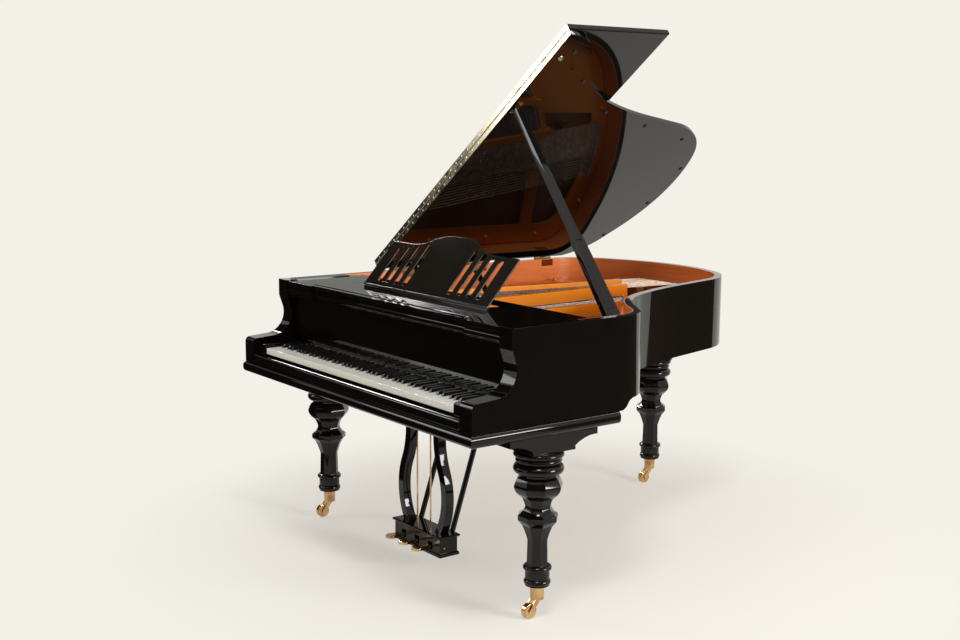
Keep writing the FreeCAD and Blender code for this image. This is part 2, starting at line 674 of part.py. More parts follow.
# Iron plate: web over the pin block, flange along the rim, hitch panel and struts
plate = prism_z(case_outline(PLATE_EDGE, size("arm_run") + size("plate_gap")), size("plate_z"), plate_top)
plate = plate.fuse(block(-block_half, block_half, size("web_y"), size("arm_run") + size("plate_gap") * 2,
                         size("plate_z"), plate_top)).removeSplitter()
inner_zone = prism_z(case_outline(FLANGE_INSIDE, size("web_back")), size("plate_z"), plate_top)
front_line = bridge_run(size("panel_front"))
speaking = closed(front_line, (-HALF, front_line[-1].EndPoint.y), (-HALF, size("web_back")),
                  (HALF, size("web_back")), (HALF, front_line[0].StartPoint.y))
back_line = bridge_run(size("panel_back"))
bass_side = string_x(BASS - 1, size("case_length")) + size("section_break") / 2
behind = closed(back_line, (-HALF, back_line[-1].EndPoint.y), (-HALF, size("case_length")),
                (HALF, size("case_length")))
plate = plate.cut(prism_z(speaking, size("plate_z"), plate_top).common(inner_zone))
bass_zone = block(-HALF, bass_side, size("web_back"), size("case_length"), size("plate_z"), plate_top)
plate = plate.cut(prism_z(behind, size("plate_z"), plate_top).common(inner_zone).common(bass_zone))
STRUT_FRONT = size("web_back") - size("strut_width")
for index in range(BREAKS):
    first = BASS + index * SECTION
    middle = (string_x(first - 1, STRUT_FRONT) + string_x(first, STRUT_FRONT)) / 2
    lean = slant(first - 1) if index == 0 else slant(first)
    back = reach_line(middle, lean, over_hitch if index == 0 else strut_hitch)
    under = size("over_strut_z") if index == 0 else size("strut_z")
    strut_middle = (under + size("strut_top")) / 2
    start = Vector(middle, STRUT_FRONT, strut_middle)
    end = Vector(back.x, back.y, strut_middle)
    strut = bar(start, end, size("strut_width"), size("strut_top") - under)
    for foot in (start, end):
        strut = strut.fuse(rod_z(size("strut_width") / 2, plate_top, size("strut_top"), foot.x, foot.y))
    plate = plate.fuse(strut)
seat("iron_plate", plate.removeSplitter())

# Tuning pins, eight-sided, and the strings from the pins to the hitch pins
pins, plain, wound = [], [], []
pin_radius = size("tuning_pin") / 2
for note in range(NOTES):
    y = size("pin_row_y") + size("pin_row_step") * (note % int(size("pin_rows")))
    x = string_x(note, y)
    corners = [direction(45 * side) * pin_radius for side in range(8)]
    corners = [(x + corner.x, y + corner.y) for corner in corners]
    pins.append(prism_z(polygon(*corners), plate_top, size("tuning_pin_top")))
    end = string_end(note)
    start_y = y + pin_radius + GAP
    start = Vector(string_x(note, start_y), start_y, string_z(note))
    wire = string_wire(note)
    (wound if note < BASS else plain).append(bar(start, Vector(end.x, end.y, string_z(note)), wire, wire))
seat("tuning_pins", Part.makeCompound(pins))
seat("plain_strings", Part.makeCompound(plain))
seat("wound_strings", Part.makeCompound(wound))

# Dampers on their lift rail
heads = []
wire_y = size("damper_y") + size("damper_length") / 2
rail_x = string_x(int(size("damped_notes")) - 1, wire_y) + PITCH
rail_x0 = string_x(0, wire_y) - PITCH
rail = block(rail_x0, rail_x, wire_y - size("damper_width"), wire_y + size("damper_width"),
             size("damper_rail_z"), size("damper_rail_z") + size("damper_height"))
for note in range(int(size("damped_notes"))):
    x = string_x(note, wire_y)
    low = string_z(note) + string_wire(note) / 2 + GAP
    half = size("damper_width") / 2
    rail = rail.fuse(block(x + half - size("plain_wire"), x + half, wire_y - half, wire_y + half,
                           size("damper_rail_z") + size("damper_height"), low + size("plain_wire")))
    heads.append(block(x - half, x + half, size("damper_y"), size("damper_y") + size("damper_length"), low,
                       low + size("damper_height")))
seat("dampers", rail.multiFuse(heads))

# Keyboard: keys laid out over an octave of twelve equal shares behind the heads
WHITE_STEPS = {0: 0, 2: 1, 4: 2, 5: 3, 7: 4, 9: 5, 11: 6}
LOW_NOTE = 21
PITCH_W = size("white_pitch")
KEYS_LEFT = -PITCH_W * size("white_count") / 2
FIRST_C = 2
key_bottom = size("white_top") - size("white_thick")


def key_share(note):
    """Left and right edges of a key behind the heads."""
    octave, step = divmod(note, 12)
    octave_x = KEYS_LEFT + PITCH_W * (FIRST_C + 7 * (octave - 2))
    if step < 5:
        share = PITCH_W * 3 / 5
        left = octave_x + share * step
    else:
        share = PITCH_W * 4 / 7
        left = octave_x + PITCH_W * 3 + share * (step - 5)
    return left, left + share


def head_share(note):
    octave, step = divmod(note, 12)
    left = KEYS_LEFT + PITCH_W * (FIRST_C + 7 * (octave - 2) + WHITE_STEPS[step])
    return left, left + PITCH_W


def white_key(note):
    half_gap = size("key_gap") / 2
    head_left, head_right = head_share(note)
    left, right = key_share(note)
    if note == LOW_NOTE:
        left = head_left
    if note == LOW_NOTE + NOTES - 1:
        right = head_right
    front, neck, back = size("key_front"), size("key_front") + size("key_head"), size("key_back")
    head = block(head_left + half_gap, head_right - half_gap, front, neck, key_bottom, size("white_top"))
    tail = block(left + half_gap, right - half_gap, neck, back, key_bottom, size("white_top"))
    return head.fuse(tail).removeSplitter()


def black_key(note):
    half_gap = size("key_gap") / 2
    left, right = key_share(note)
    left, right = left + half_gap, right - half_gap
    front, back = size("sharp_front"), size("sharp_back")
    stick = block(left, right, front, size("key_back"), key_bottom, size("white_top") - half_gap * 2)
    low, high = size("white_top") - half_gap * 2, size("white_top") + size("sharp_rise")
    bevel = size("sharp_bevel")
    top = Part.makeWedge(left, low, -back, -back, left + bevel, right, high, -front,
                         -front - size("sharp_slope"), right - bevel)
    top.rotate(Vector(0, 0, 0), Vector(1, 0, 0), 90)
    return stick.fuse(top).removeSplitter()


def hammer(note):
    """Shank and pear-shaped head, drawn as (y, z)."""
    x = string_x(note - LOW_NOTE, size("hammer_y") + size("shank_length"))
    half = size("shank_size") / 2
    start = size("hammer_y") + size("hammer_rod") + GAP
    middle, depth = size("hammer_y") + size("shank_length"), size("hammer_depth")
    z = size("hammer_z")
    shape = polygon((start, z - half), (middle + depth / 2, z - half), (middle + depth / 2, z + depth),
                    (middle + depth / 6, size("hammer_top")), (middle - depth / 6, size("hammer_top")),
                    (middle - depth / 2, z + depth), (middle - depth / 2, z + half), (start, z + half))
    return prism_x(shape, x - size("hammer_width") / 2, x + size("hammer_width") / 2)


notes = range(LOW_NOTE, LOW_NOTE + NOTES)
whites = [note for note in notes if note % 12 in WHITE_STEPS]
blacks = [note for note in notes if note % 12 not in WHITE_STEPS]
seat("white_keys", Part.makeCompound([white_key(note) for note in whites]))
seat("black_keys", Part.makeCompound([black_key(note) for note in blacks]))
seat("white_key_hammers", Part.makeCompound([hammer(note) for note in whites]))
seat("black_key_hammers", Part.makeCompound([hammer(note) for note in blacks]))

# Key frame and action frame, which shift sideways together
KEYS_HALF = -KEYS_LEFT
frame_z = size("arm_bottom") + GAP
FRAME_END = KEYS_HALF + size("shift_room") * 4
END_PLATE = size("shift_room") * 2
rail_depth = size("balance_rod") * 7
balance_z = key_bottom - GAP - size("balance_rod")
frame = block(-KEYS_HALF, KEYS_HALF, size("balance_y") - rail_depth / 2, size("balance_y") + rail_depth / 2,
              frame_z, balance_z - size("balance_rod") / 2)
frame = frame.fuse(block(-KEYS_HALF, KEYS_HALF, size("balance_y") - size("balance_rod") / 2,
                         size("balance_y") + size("balance_rod") / 2, frame_z, balance_z))
frame = frame.fuse(rod_x(size("balance_rod"), -KEYS_HALF, KEYS_HALF, size("balance_y"), balance_z))
back_rail = size("key_back") - rail_depth
frame = frame.fuse(block(-FRAME_END, FRAME_END, back_rail, size("key_back"), frame_z, key_bottom - GAP))
front_rail = size("key_front") + size("key_head") / 2
frame = frame.fuse(block(-KEYS_HALF, KEYS_HALF, front_rail - rail_depth / 2, front_rail + rail_depth / 2,
                         frame_z, key_bottom - size("white_thick")))
slat_reach = KEYS_HALF - rail_depth
for index in range(int(size("slat_count"))):
    x = slat_reach * (2 * index / (size("slat_count") - 1) - 1)
    frame = frame.fuse(block(x - rail_depth / 2, x + rail_depth / 2, front_rail, size("key_back"), frame_z,
                             frame_z + size("balance_rod")))
seat("key_frame", frame.removeSplitter())
action = rod_x(size("hammer_rod"), -FRAME_END, FRAME_END, size("hammer_y"), size("hammer_z"))
rail_y = size("hammer_y") - size("hammer_rod") + GAP
rail_low = size("hammer_z") - size("hammer_rod") * 3
rail_high = size("hammer_z") + size("hammer_rod") * 3
action = action.fuse(block(-FRAME_END, FRAME_END, rail_y - rail_depth / 2, rail_y, rail_low, rail_high))
for side in (-1, 1):
    x0, x1 = sorted((side * (FRAME_END - END_PLATE), side * FRAME_END))
    outline = polygon((rail_y - rail_depth / 2, size("hammer_z") - rail_depth), (back_rail, key_bottom - GAP),
                      (size("key_back"), key_bottom - GAP), (size("key_back"), key_bottom + rail_depth),
                      (size("hammer_y") + size("hammer_rod") * 2, rail_high),
                      (rail_y - rail_depth / 2, rail_high))
    action = action.fuse(prism_x(outline, x0, x1))
seat("action_frame", action.removeSplitter())

# Keybed with holes for the pedal rods, and the moulding round its front and sides
PEDALS = (("left", -1), ("middle", 0), ("right", 1))
keybed_half = HALF + size("bead_out") - size("bead_width")
keybed_front = size("bead_width") - size("bead_out")
bed = box("keybed_slab", "-(Sizes.case_width / 2 + Sizes.bead_out - Sizes.bead_width)",
          "Sizes.bead_width - Sizes.bead_out", "Sizes.arm_bottom - Sizes.keybed_thick",
          "Sizes.case_width + 2 * (Sizes.bead_out - Sizes.bead_width)",
          "Sizes.bead_run + 2 * Sizes.bead_out - Sizes.bead_width", "Sizes.keybed_thick")
holes = []
for name, place in PEDALS:
    hole = doc.addObject("Part::Cylinder", "rod_hole_" + name)
    hole.setExpression("Radius", "Sizes.rod_radius + Sizes.rod_clearance")
    hole.setExpression("Height", "Sizes.keybed_thick")
    hole.setExpression(".Placement.Base.x", "%d * Sizes.pedal_pitch" % place)
    hole.setExpression(".Placement.Base.y", "%s + Sizes.rod_y" % FRONT_EXPR)
    hole.setExpression(".Placement.Base.z", "Sizes.arm_bottom - Sizes.keybed_thick")
    holes.append(hole)
rod_holes = doc.addObject("Part::Compound", "rod_holes")
rod_holes.Links = holes
keybed = doc.addObject("Part::Cut", "keybed")
keybed.Base = bed
keybed.Tool = rod_holes
parts["keybed"] = keybed

bead = block(-HALF - size("bead_out"), HALF + size("bead_out"), -size("bead_out"), size("bead_run"),
             KEYBED_Z, size("arm_bottom"))
bead = bead.cut(block(-keybed_half, keybed_half, keybed_front, size("case_length"), KEYBED_Z,
                      size("arm_bottom")))
outer_edges = []
for edge in bead.Edges:
    middle = edge.CenterOfMass
    level = abs(edge.Vertexes[0].Z - edge.Vertexes[1].Z) < 1e-6
    outside = abs(middle.x) > HALF or middle.y < 0
    if level and outside:
        outer_edges.append(edge)
seat("keybed_moulding", bead.makeFillet(size("bead_round"), outer_edges))

# Key slip in front of the keys and the cheek blocks beside them
slip = box("key_slip", "-(Sizes.case_width / 2 - Sizes.arm_thick)", "0", "Sizes.arm_bottom",
           "Sizes.case_width - 2 * Sizes.arm_thick", "Sizes.slip_thick", "Sizes.slip_top - Sizes.arm_bottom")
parts["key_slip"] = slip
cheeks = []
fall_front = size("fall_y") - size("fall_thick") / 2
for side in (-1, 1):
    x0, x1 = sorted((side * (KEYS_HALF + size("shift_room")), side * ARM_INSIDE))
    cheeks.append(block(x0, x1, size("slip_thick"), fall_front - size("shift_room"), size("arm_bottom"),
                        size("cheek_top")))
seat("cheek_blocks", Part.makeCompound(cheeks))

# Fallboard, standing open, on two pins in the arms
fall_half = ARM_INSIDE - size("shift_room") / 2
half = size("fall_thick") / 2
fall_run, here, heading = walk((fall_front, size("fall_z")), -90, [(half, 180), (size("fall_reach"), 0)])
fall = prism_x(closed(fall_run, (fall_front, size("fall_z") + size("fall_reach"))), -fall_half, fall_half)
pins = []
for side in (-1, 1):
    reach = ARM_INSIDE - size("fall_pin_length")
    x0, x1 = sorted((side * reach, side * ARM_INSIDE))
    pins.append(rod_x(size("fall_pin"), x0, x1, size("fall_y"), size("fall_z")))
    x0, x1 = sorted((side * (reach - size("shift_room") / 4), side * ARM_INSIDE))
    fall = fall.cut(rod_x(size("fall_pin") + FIT, x0, x1, size("fall_y"), size("fall_z")))
seat("fallboard", fall)
seat("fallboard_pins", Part.makeCompound(pins))

# Music shelf on runners between two fixed side boards
shelf_top = size("shelf_z") + size("shelf_thick")
rail_low = size("shelf_z") - size("shelf_rail")


def shelf_rail(front):
    """Moulded front rail with a bead, a fillet and a cove, drawn as (y, z)."""
    thick, drop = size("shelf_rail_thick"), size("shelf_rail")
    z = size("shelf_z")
    reed = thick / 4
    quirk = z - drop / 4 - reed
    run, here, heading = walk((front, z - drop / 2), -90, [(drop / 2 - reed, 60)])
    back = front + thick
    return closed(run, (here.x, rail_low), (back, rail_low), (back, shelf_top), (front, shelf_top),
                  (front, z), (front + reed, z - reed), (front + reed, quirk), (front, quirk))


shelf = block(-size("shelf_half"), size("shelf_half"), size("shelf_front") + size("shelf_rail_thick") / 2,
              size("shelf_back"), size("shelf_z"), shelf_top)
shelf = shelf.fuse(prism_x(shelf_rail(size("shelf_front")), -size("shelf_half"), size("shelf_half")))
shelf = shelf.cut(block(-size("shelf_hole_half"), size("shelf_hole_half"), size("shelf_hole_front"),
                        size("shelf_hole_back"), size("shelf_z"), shelf_top))
rod_half = size("desk_half") - size("desk_ledge")
shelf = shelf.fuse(rod_x(size("desk_rod"), -rod_half, rod_half, size("desk_y"), size("desk_z")))
rod_foot = size("desk_rod") / 2
shelf = shelf.fuse(block(-rod_half, rod_half, size("desk_y") - rod_foot, size("desk_y") + rod_foot, shelf_top,
                         size("desk_z")))
seat("music_shelf", shelf.removeSplitter())
boards = []
board_inside = size("shelf_half") + size("shift_room") / 4
for side in (-1, 1):
    x0, x1 = sorted((side * board_inside, side * ARM_INSIDE))
    board = block(x0, x1, size("board_front") + size("shelf_rail_thick") / 2, size("shelf_back"),
                  size("shelf_z"), shelf_top)
    board = board.fuse(prism_x(shelf_rail(size("board_front")), x0, x1))
    runner_y = size("shelf_front") + size("shelf_rail_thick") * 2
    runner_low = size("shelf_z") - size("runner_width") / 2
    reach = size("runner_width")
    x0, x1 = sorted((side * (board_inside - reach), side * (board_inside + reach)))
    runner = block(x0, x1, runner_y, size("shelf_back"), runner_low, size("shelf_z") - GAP)
    x0, x1 = sorted((side * board_inside, side * (board_inside + reach)))
    board = board.fuse(runner).fuse(block(x0, x1, runner_y, size("shelf_back"), runner_low, size("shelf_z")))
    boards.append(board.removeSplitter())
seat("shelf_side_boards", Part.makeCompound(boards))

# Music desk, drawn flat as (x, height) and leaned back about its hinge rod
desk_place = Placement(Vector(0, size("desk_y"), size("desk_z")),
                       Rotation(Vector(1, 0, 0), 90 - size("desk_lean")))
desk_foot = size("desk_rod") + GAP
crest_rise = size("desk_crest") - size("desk_side")
crest_turn = 2 * math.degrees(math.atan2(crest_rise, size("crest_run")))
crest_radius = size("crest_run") / 2 / math.sin(math.radians(crest_turn))
crest_flat = 2 * size("crest_half")
top_side = size("desk_half") - size("crest_run") - size("crest_half")
top_run, here, heading = walk((size("desk_half"), size("desk_side")), 180, [
    (top_side, 0), (crest_radius, -crest_turn), (crest_radius, crest_turn), (crest_flat, 0),
    (crest_radius, crest_turn), (crest_radius, -crest_turn), (top_side, 0)])
desk_outline = closed(top_run, (-size("desk_half"), desk_foot), (size("desk_half"), desk_foot))
desk = prism_z(desk_outline, 0, size("desk_thick"))
for index in range(int(size("slot_count"))):
    x = size("slot_first") + size("slot_pitch") * index
    rise = crest_rise * (1 - index / size("slot_count")) * size("slot_follow")
    slot_high = size("desk_side") - size("slot_low") + rise
    slot_run = slot_high - size("slot_low")
    radius = size("slot_width") / 2
    for side in (-1, 1):
        slot, here, heading = walk((side * x - radius, slot_high), -90, [
            (slot_run, 0), (radius, 180), (slot_run, 0), (radius, 180)])
        desk = desk.cut(prism_z(slot, 0, size("desk_thick")))
ledge_foot = desk_foot * 2
ledge_top = ledge_foot + size("desk_thick") / 2
desk = desk.fuse(block(-rod_half, rod_half, ledge_foot, ledge_top, size("desk_thick"),
                       size("desk_thick") + size("desk_ledge")))
lug_x = size("stay_width") / 2 + size("shift_room") / 4
lug = size("shift_room")
eye = size("stay_pin") * 2
for side in (-1, 1):
    for end in (-1, 1):
        x0, x1 = sorted((side * size("stay_x") + end * lug_x, side * size("stay_x") + end * (lug_x + lug)))
        desk = desk.fuse(block(x0, x1, size("stay_up") - eye, size("stay_up") + eye,
                               -size("stay_out") - eye, 0))
    x0 = side * size("stay_x") - lug_x - lug
    desk = desk.fuse(rod_x(size("stay_pin"), x0, x0 + 2 * (lug_x + lug), size("stay_up"), -size("stay_out")))
seat("music_desk", desk.removeSplitter(), desk_place)

# Stays behind the desk, from their pins to the back of the shelf's opening
pin_at = desk_place.multVec(Vector(0, size("stay_up"), -size("stay_out")))
foot_at = Vector(0, size("shelf_hole_back") - size("stay_thick") / 2 - GAP * 4, size("stay_foot_z"))
stay_side = direction(math.degrees(math.atan2(foot_at.z - pin_at.z, foot_at.y - pin_at.y)) + 90)
stay_side = stay_side * (size("stay_thick") / 2)
stay_edge = [(end.y + sign * stay_side.x, end.z + sign * stay_side.y)
             for end, sign in ((pin_at, 1), (foot_at, 1), (foot_at, -1), (pin_at, -1))]
stays = []
for side in (-1, 1):
    x0 = side * size("stay_x") - size("stay_width") / 2
    stay = prism_x(polygon(*stay_edge), x0, x0 + size("stay_width"))
    stay = stay.fuse(rod_x(size("stay_pin") * 2, x0, x0 + size("stay_width"), pin_at.y, pin_at.z))
    stays.append(stay.cut(rod_x(size("stay_pin") + FIT, x0, x0 + size("stay_width"), pin_at.y, pin_at.z)))
seat("desk_stays", Part.makeCompound(stays))

# Lid, drawn closed and turned open about its hinges on the spine
hinge_x = -HALF - size("lid_hinge_out")
hinge_z = (size("rim_top") + size("lid_z")) / 2
lid_turn = Rotation(Vector(0, 1, 0), -size("lid_angle"))
lid_open = Placement(Vector(0, 0, 0), lid_turn, Vector(hinge_x, 0, hinge_z))
lid_left = -HALF + GAP
lid_top = size("lid_z") + size("lid_thick")
lid = prism_z(case_outline(size("lid_overhang"), 0), size("lid_z"), lid_top)
lid = lid.common(block(lid_left, BEYOND, size("lid_front"), size("case_length") * 2, size("lid_z"), lid_top))
rounded = [edge for edge in lid.Edges if abs(edge.CenterOfMass.z - lid_top) < GAP
           and edge.CenterOfMass.y > size("lid_front") + GAP and edge.CenterOfMass.x > lid_left + GAP]
seat("lid_main", lid.makeFillet(size("lid_round"), rounded), lid_open)
flap_low = lid_top + size("flap_gap")
flap = block(lid_left, HALF + size("lid_overhang"), size("lid_front"), size("lid_front") + size("flap_depth"),
             flap_low, flap_low + size("lid_thick"))
flap_back = size("lid_front") + size("flap_depth")
rounded = [edge for edge in flap.Edges if abs(edge.CenterOfMass.z - flap_low) < GAP
           and (edge.CenterOfMass.y > flap_back - GAP or edge.CenterOfMass.x > HALF)]
seat("lid_flap", flap.makeFillet(size("lid_round"), rounded), lid_open)

# Continuous hinge between lid and flap: two leaves on the front edges and a pin between them
leaf_front = size("lid_front") - size("leaf_thick")
pin_y = leaf_front - GAP
pin_z = lid_top + size("flap_gap") / 2
flap_right = HALF + size("lid_overhang")
leaf_high = size("lid_thick") - GAP * 4
lid_leaf = block(lid_left, flap_right, leaf_front, size("lid_front"), lid_top - leaf_high, pin_z)
lid_leaf = lid_leaf.fuse(rod_x(size("flap_pin"), lid_left, flap_right, pin_y, pin_z))
seat("flap_hinge_lid_leaf", lid_leaf.removeSplitter(), lid_open)
flap_leaf = block(lid_left, flap_right, leaf_front, size("lid_front"), flap_low, flap_low + leaf_high)
seat("flap_hinge_flap_leaf", flap_leaf, lid_open)

# Butt hinges along the spine
case_leaves, lid_leaves = [], []
knuckle = size("lid_hinge_length") / 3
for index in range(int(size("lid_hinge_count"))):
    y = size("lid_hinge_first") + size("lid_hinge_step") * index
    leaf = block(-HALF - size("leaf_thick"), -HALF, y, y + size("lid_hinge_length"),
                 size("rim_top") - size("lid_hinge_length") / 2, size("rim_top"))
    for step in (0, 2):
        low, high = y + knuckle * step, y + knuckle * (step + 1)
        barrel = rod_y(size("lid_hinge_radius"), low, high, hinge_x, hinge_z)
        web = block(hinge_x, -HALF, low, high, size("rim_top") - size("lid_hinge_radius"), size("rim_top"))
        leaf = leaf.fuse(barrel).fuse(web)
    case_leaves.append(leaf.removeSplitter())
    low, high = y + knuckle + GAP, y + knuckle * 2 - GAP
    leaf_low = size("lid_z") + GAP * 2
    leaf = block(lid_left - size("leaf_thick"), lid_left, y, y + size("lid_hinge_length"), leaf_low, lid_top)
    leaf = leaf.fuse(rod_y(size("lid_hinge_radius"), low, high, hinge_x, hinge_z))
    web = block(hinge_x, lid_left, low, high, leaf_low, size("lid_z") + size("lid_hinge_radius"))
    leaf = leaf.fuse(web)
    lid_leaves.append(leaf.removeSplitter())
seat("lid_hinge_case_leaves", Part.makeCompound(case_leaves))
seat("lid_hinge_lid_leaves", Part.makeCompound(lid_leaves), lid_open)

# Lid prop: length along X, width along Y and thickness along Z, then turned up about its pivot
lean = math.radians(size("lid_angle"))
across = size("prop_x") - hinge_x
above = size("prop_z") - hinge_z
cup_under = size("lid_z") - size("cup_thick") - hinge_z
drop = cup_under + across * math.sin(lean) - above * math.cos(lean)
prop_length = drop / math.cos(math.radians(size("prop_past"))) - GAP * 2
prop_rise = 90 - size("lid_angle") - size("prop_past")
prop_place = Placement(Vector(size("prop_x"), size("prop_y"), size("prop_z")),
                       Rotation(Vector(0, 1, 0), 180 + prop_rise))
prop_half = size("prop_thick") / 2
neck = size("prop_shoulder") + size("prop_narrow")
foot_run, here, heading = walk((0, prop_half), 180, [(prop_half, 180), (prop_length, 0)])
side_view = prism_y(closed(foot_run, (prop_length, prop_half)), -size("prop_wide"), size("prop_wide"))
prop_edge = [(-prop_half, size("prop_wide") / 2), (0, size("prop_wide") / 2),
             (size("prop_shoulder"), size("prop_mid") / 2), (neck, size("prop_narrow") / 2),
             (prop_length, size("prop_tip") / 2)]
prop_face = prop_edge + [(x, -y) for x, y in reversed(prop_edge)]
face_view = prism_z(polygon(*prop_face), -prop_half, prop_half)
prop = side_view.common(face_view)
prop = prop.cut(rod_y(size("prop_pin") + FIT, -size("prop_wide"), size("prop_wide"), 0, 0))
half_high = -prop_half + size("half_thick")
half_eye = size("half_thick") / 2
half_axis = -prop_half + half_eye
recess_half = size("half_width") / 2 + GAP * 2
recess_low = size("half_foot") - half_eye - GAP * 2
prop = prop.cut(block(recess_low, size("half_foot") + size("half_length") + size("shift_room"), -recess_half,
                      recess_half, -prop_half, half_high + GAP))
prop = prop.fuse(rod_y(size("half_pin"), -recess_half - half_eye, recess_half + half_eye, size("half_foot"),
                       half_axis))
seat("lid_prop", prop.removeSplitter(), prop_place)
half_steps = [(half_eye, 180), (size("half_length"), 0)]
half_run, here, heading = walk((size("half_foot"), half_high), 180, half_steps)
half_prop = prism_y(closed(half_run, (here.x, half_high)), -size("half_width") / 2, size("half_width") / 2)
half_prop = half_prop.cut(rod_y(size("half_pin") + FIT, -size("half_width"), size("half_width"),
                                size("half_foot"), half_axis))
seat("half_prop", half_prop, prop_place)

# Bracket of the prop on the inside of the rim, and the plate on the lid that the prop bears on
bracket_half = size("prop_wide") / 2 + GAP
cheek = size("lid_hinge_radius") * 1.5
bracket_z0 = size("prop_z") - size("prop_pin") * 3
bracket_z1 = size("prop_z") + size("prop_pin") * 3
y0, y1 = size("prop_y") - bracket_half, size("prop_y") + bracket_half
bracket = block(size("prop_x") + size("prop_thick"), HALF, y0 - cheek, y1 + cheek, bracket_z0, bracket_z1)
bracket_left = size("prop_x") - size("prop_pin") * 2
for low, high in ((y0 - cheek, y0), (y1, y1 + cheek)):
    bracket = bracket.fuse(block(bracket_left, HALF, low, high, bracket_z0, bracket_z1))
bracket = bracket.fuse(rod_y(size("prop_pin"), y0 - cheek, y1 + cheek, size("prop_x"), size("prop_z")))
seat("prop_bracket", bracket.common(prism_z(case_outline(FACED, 0), bracket_z0, bracket_z1)).removeSplitter())
cup_x = hinge_x + across * math.cos(lean) + above * math.sin(lean)
cup_x -= drop * math.tan(math.radians(size("prop_past")))
cup_half = size("prop_thick") * 1.5
cup_side = size("prop_tip") / 2 + GAP * 10
cup = block(cup_x - cup_half, cup_x + cup_half, size("prop_y") - cup_side, size("prop_y") + cup_side,
            size("lid_z") - size("cup_thick"), size("lid_z"))
seat("prop_cup", cup, lid_open)

# Leg blocks: an upper band and a cove over a foot plate, drawn as (y, z)
block_top = KEYBED_Z
FRONT_LEGS = (("bass", -size("leg_x")), ("treble", size("leg_x")))
blocks = []
band_low = block_top - size("block_band")
plate_high = size("leg_top") + size("block_foot")
cove = band_low - plate_high
top_half, foot_half = size("block_half_top"), size("block_half_foot")
bend = Vector((top_half + 2 * foot_half) / 3, band_low - cove / 3, 0)
lip = foot_half - GAP * 10
coves = [Part.Arc(Vector(side * top_half, band_low, 0), Vector(side * bend.x, bend.y, 0),
                  Vector(side * lip, plate_high, 0)) for side in (-1, 1)]
foot_line = polygon((-lip, plate_high), (-foot_half, plate_high), (-foot_half, size("leg_top")),
                    (foot_half, size("leg_top")), (foot_half, plate_high), (lip, plate_high))[:-1]
band_line = polygon((-top_half, band_low), (-top_half, block_top), (top_half, block_top),
                    (top_half, band_low))[:-1]
for name, x in FRONT_LEGS:
    solid = prism_x(coves + foot_line + band_line, x - size("block_half_x"), x + size("block_half_x"))
    solid.translate(Vector(0, size("leg_y") + size("block_back"), 0))
    blocks.append(solid)
tail_leg_y = size("case_length") - size("tail_leg_in")
tail_band = size("rim_bottom") - size("block_band")
tail_at = (size("tail_leg_x"), tail_leg_y)
tail_block = rod_z(size("disc_radius") + size("block_foot") / 2, size("leg_top"), plate_high, *tail_at)
tail_block = tail_block.fuse(rod_z(size("groove_radius"), plate_high, tail_band, *tail_at))
tail_block = tail_block.fuse(rod_z(size("disc_radius"), tail_band, size("rim_bottom"), *tail_at))
blocks.append(tail_block)
seat("leg_blocks", Part.makeCompound(blocks))


def octagon(radius, z):
    corners = [direction(45 * side + 22.5) * radius + Vector(0, 0, z) for side in range(9)]
    return Part.makePolygon(corners)


def bulge(radius_in, radius_out, z_high, z_low):
    """Half-round bead on a turned profile, from its upper to its lower end."""
    half = (z_high - z_low) / 2
    upper, lower = Vector(radius_out - half, z_high, 0), Vector(radius_out - half, z_low, 0)
    return [Part.LineSegment(Vector(radius_in, z_high, 0), upper),
            Part.Arc(upper, Vector(radius_out, z_low + half, 0), lower),
            Part.LineSegment(lower, Vector(radius_in, z_low, 0))]


def turning(profile):
    """Solid turned about Z from a half profile of (radius, z), closed along the axis."""
    flat = face(closed(profile, (0, profile[-1].EndPoint.y), (0, profile[0].StartPoint.y)))
    flat.Placement = Placement(Vector(0, 0, 0), Rotation(Vector(1, 0, 0), 90))
    return flat.revolve(Vector(0, 0, 0), Vector(0, 0, 1), 360)


def levels(start, *heights):
    """Heights of a stack of pieces from the top down."""
    stack = [start]
    for height in heights:
        stack.append(stack[-1] - height)
    return stack


def eased(high, low, power):
    """Points of a curve between two (radius, z) points, the first left out."""
    points = []
    for part in (0.25, 0.5, 0.75, 1):
        radius = high[0] + (low[0] - high[0]) * part ** power
        points.append((radius, high[1] + (low[1] - high[1]) * part))
    return points


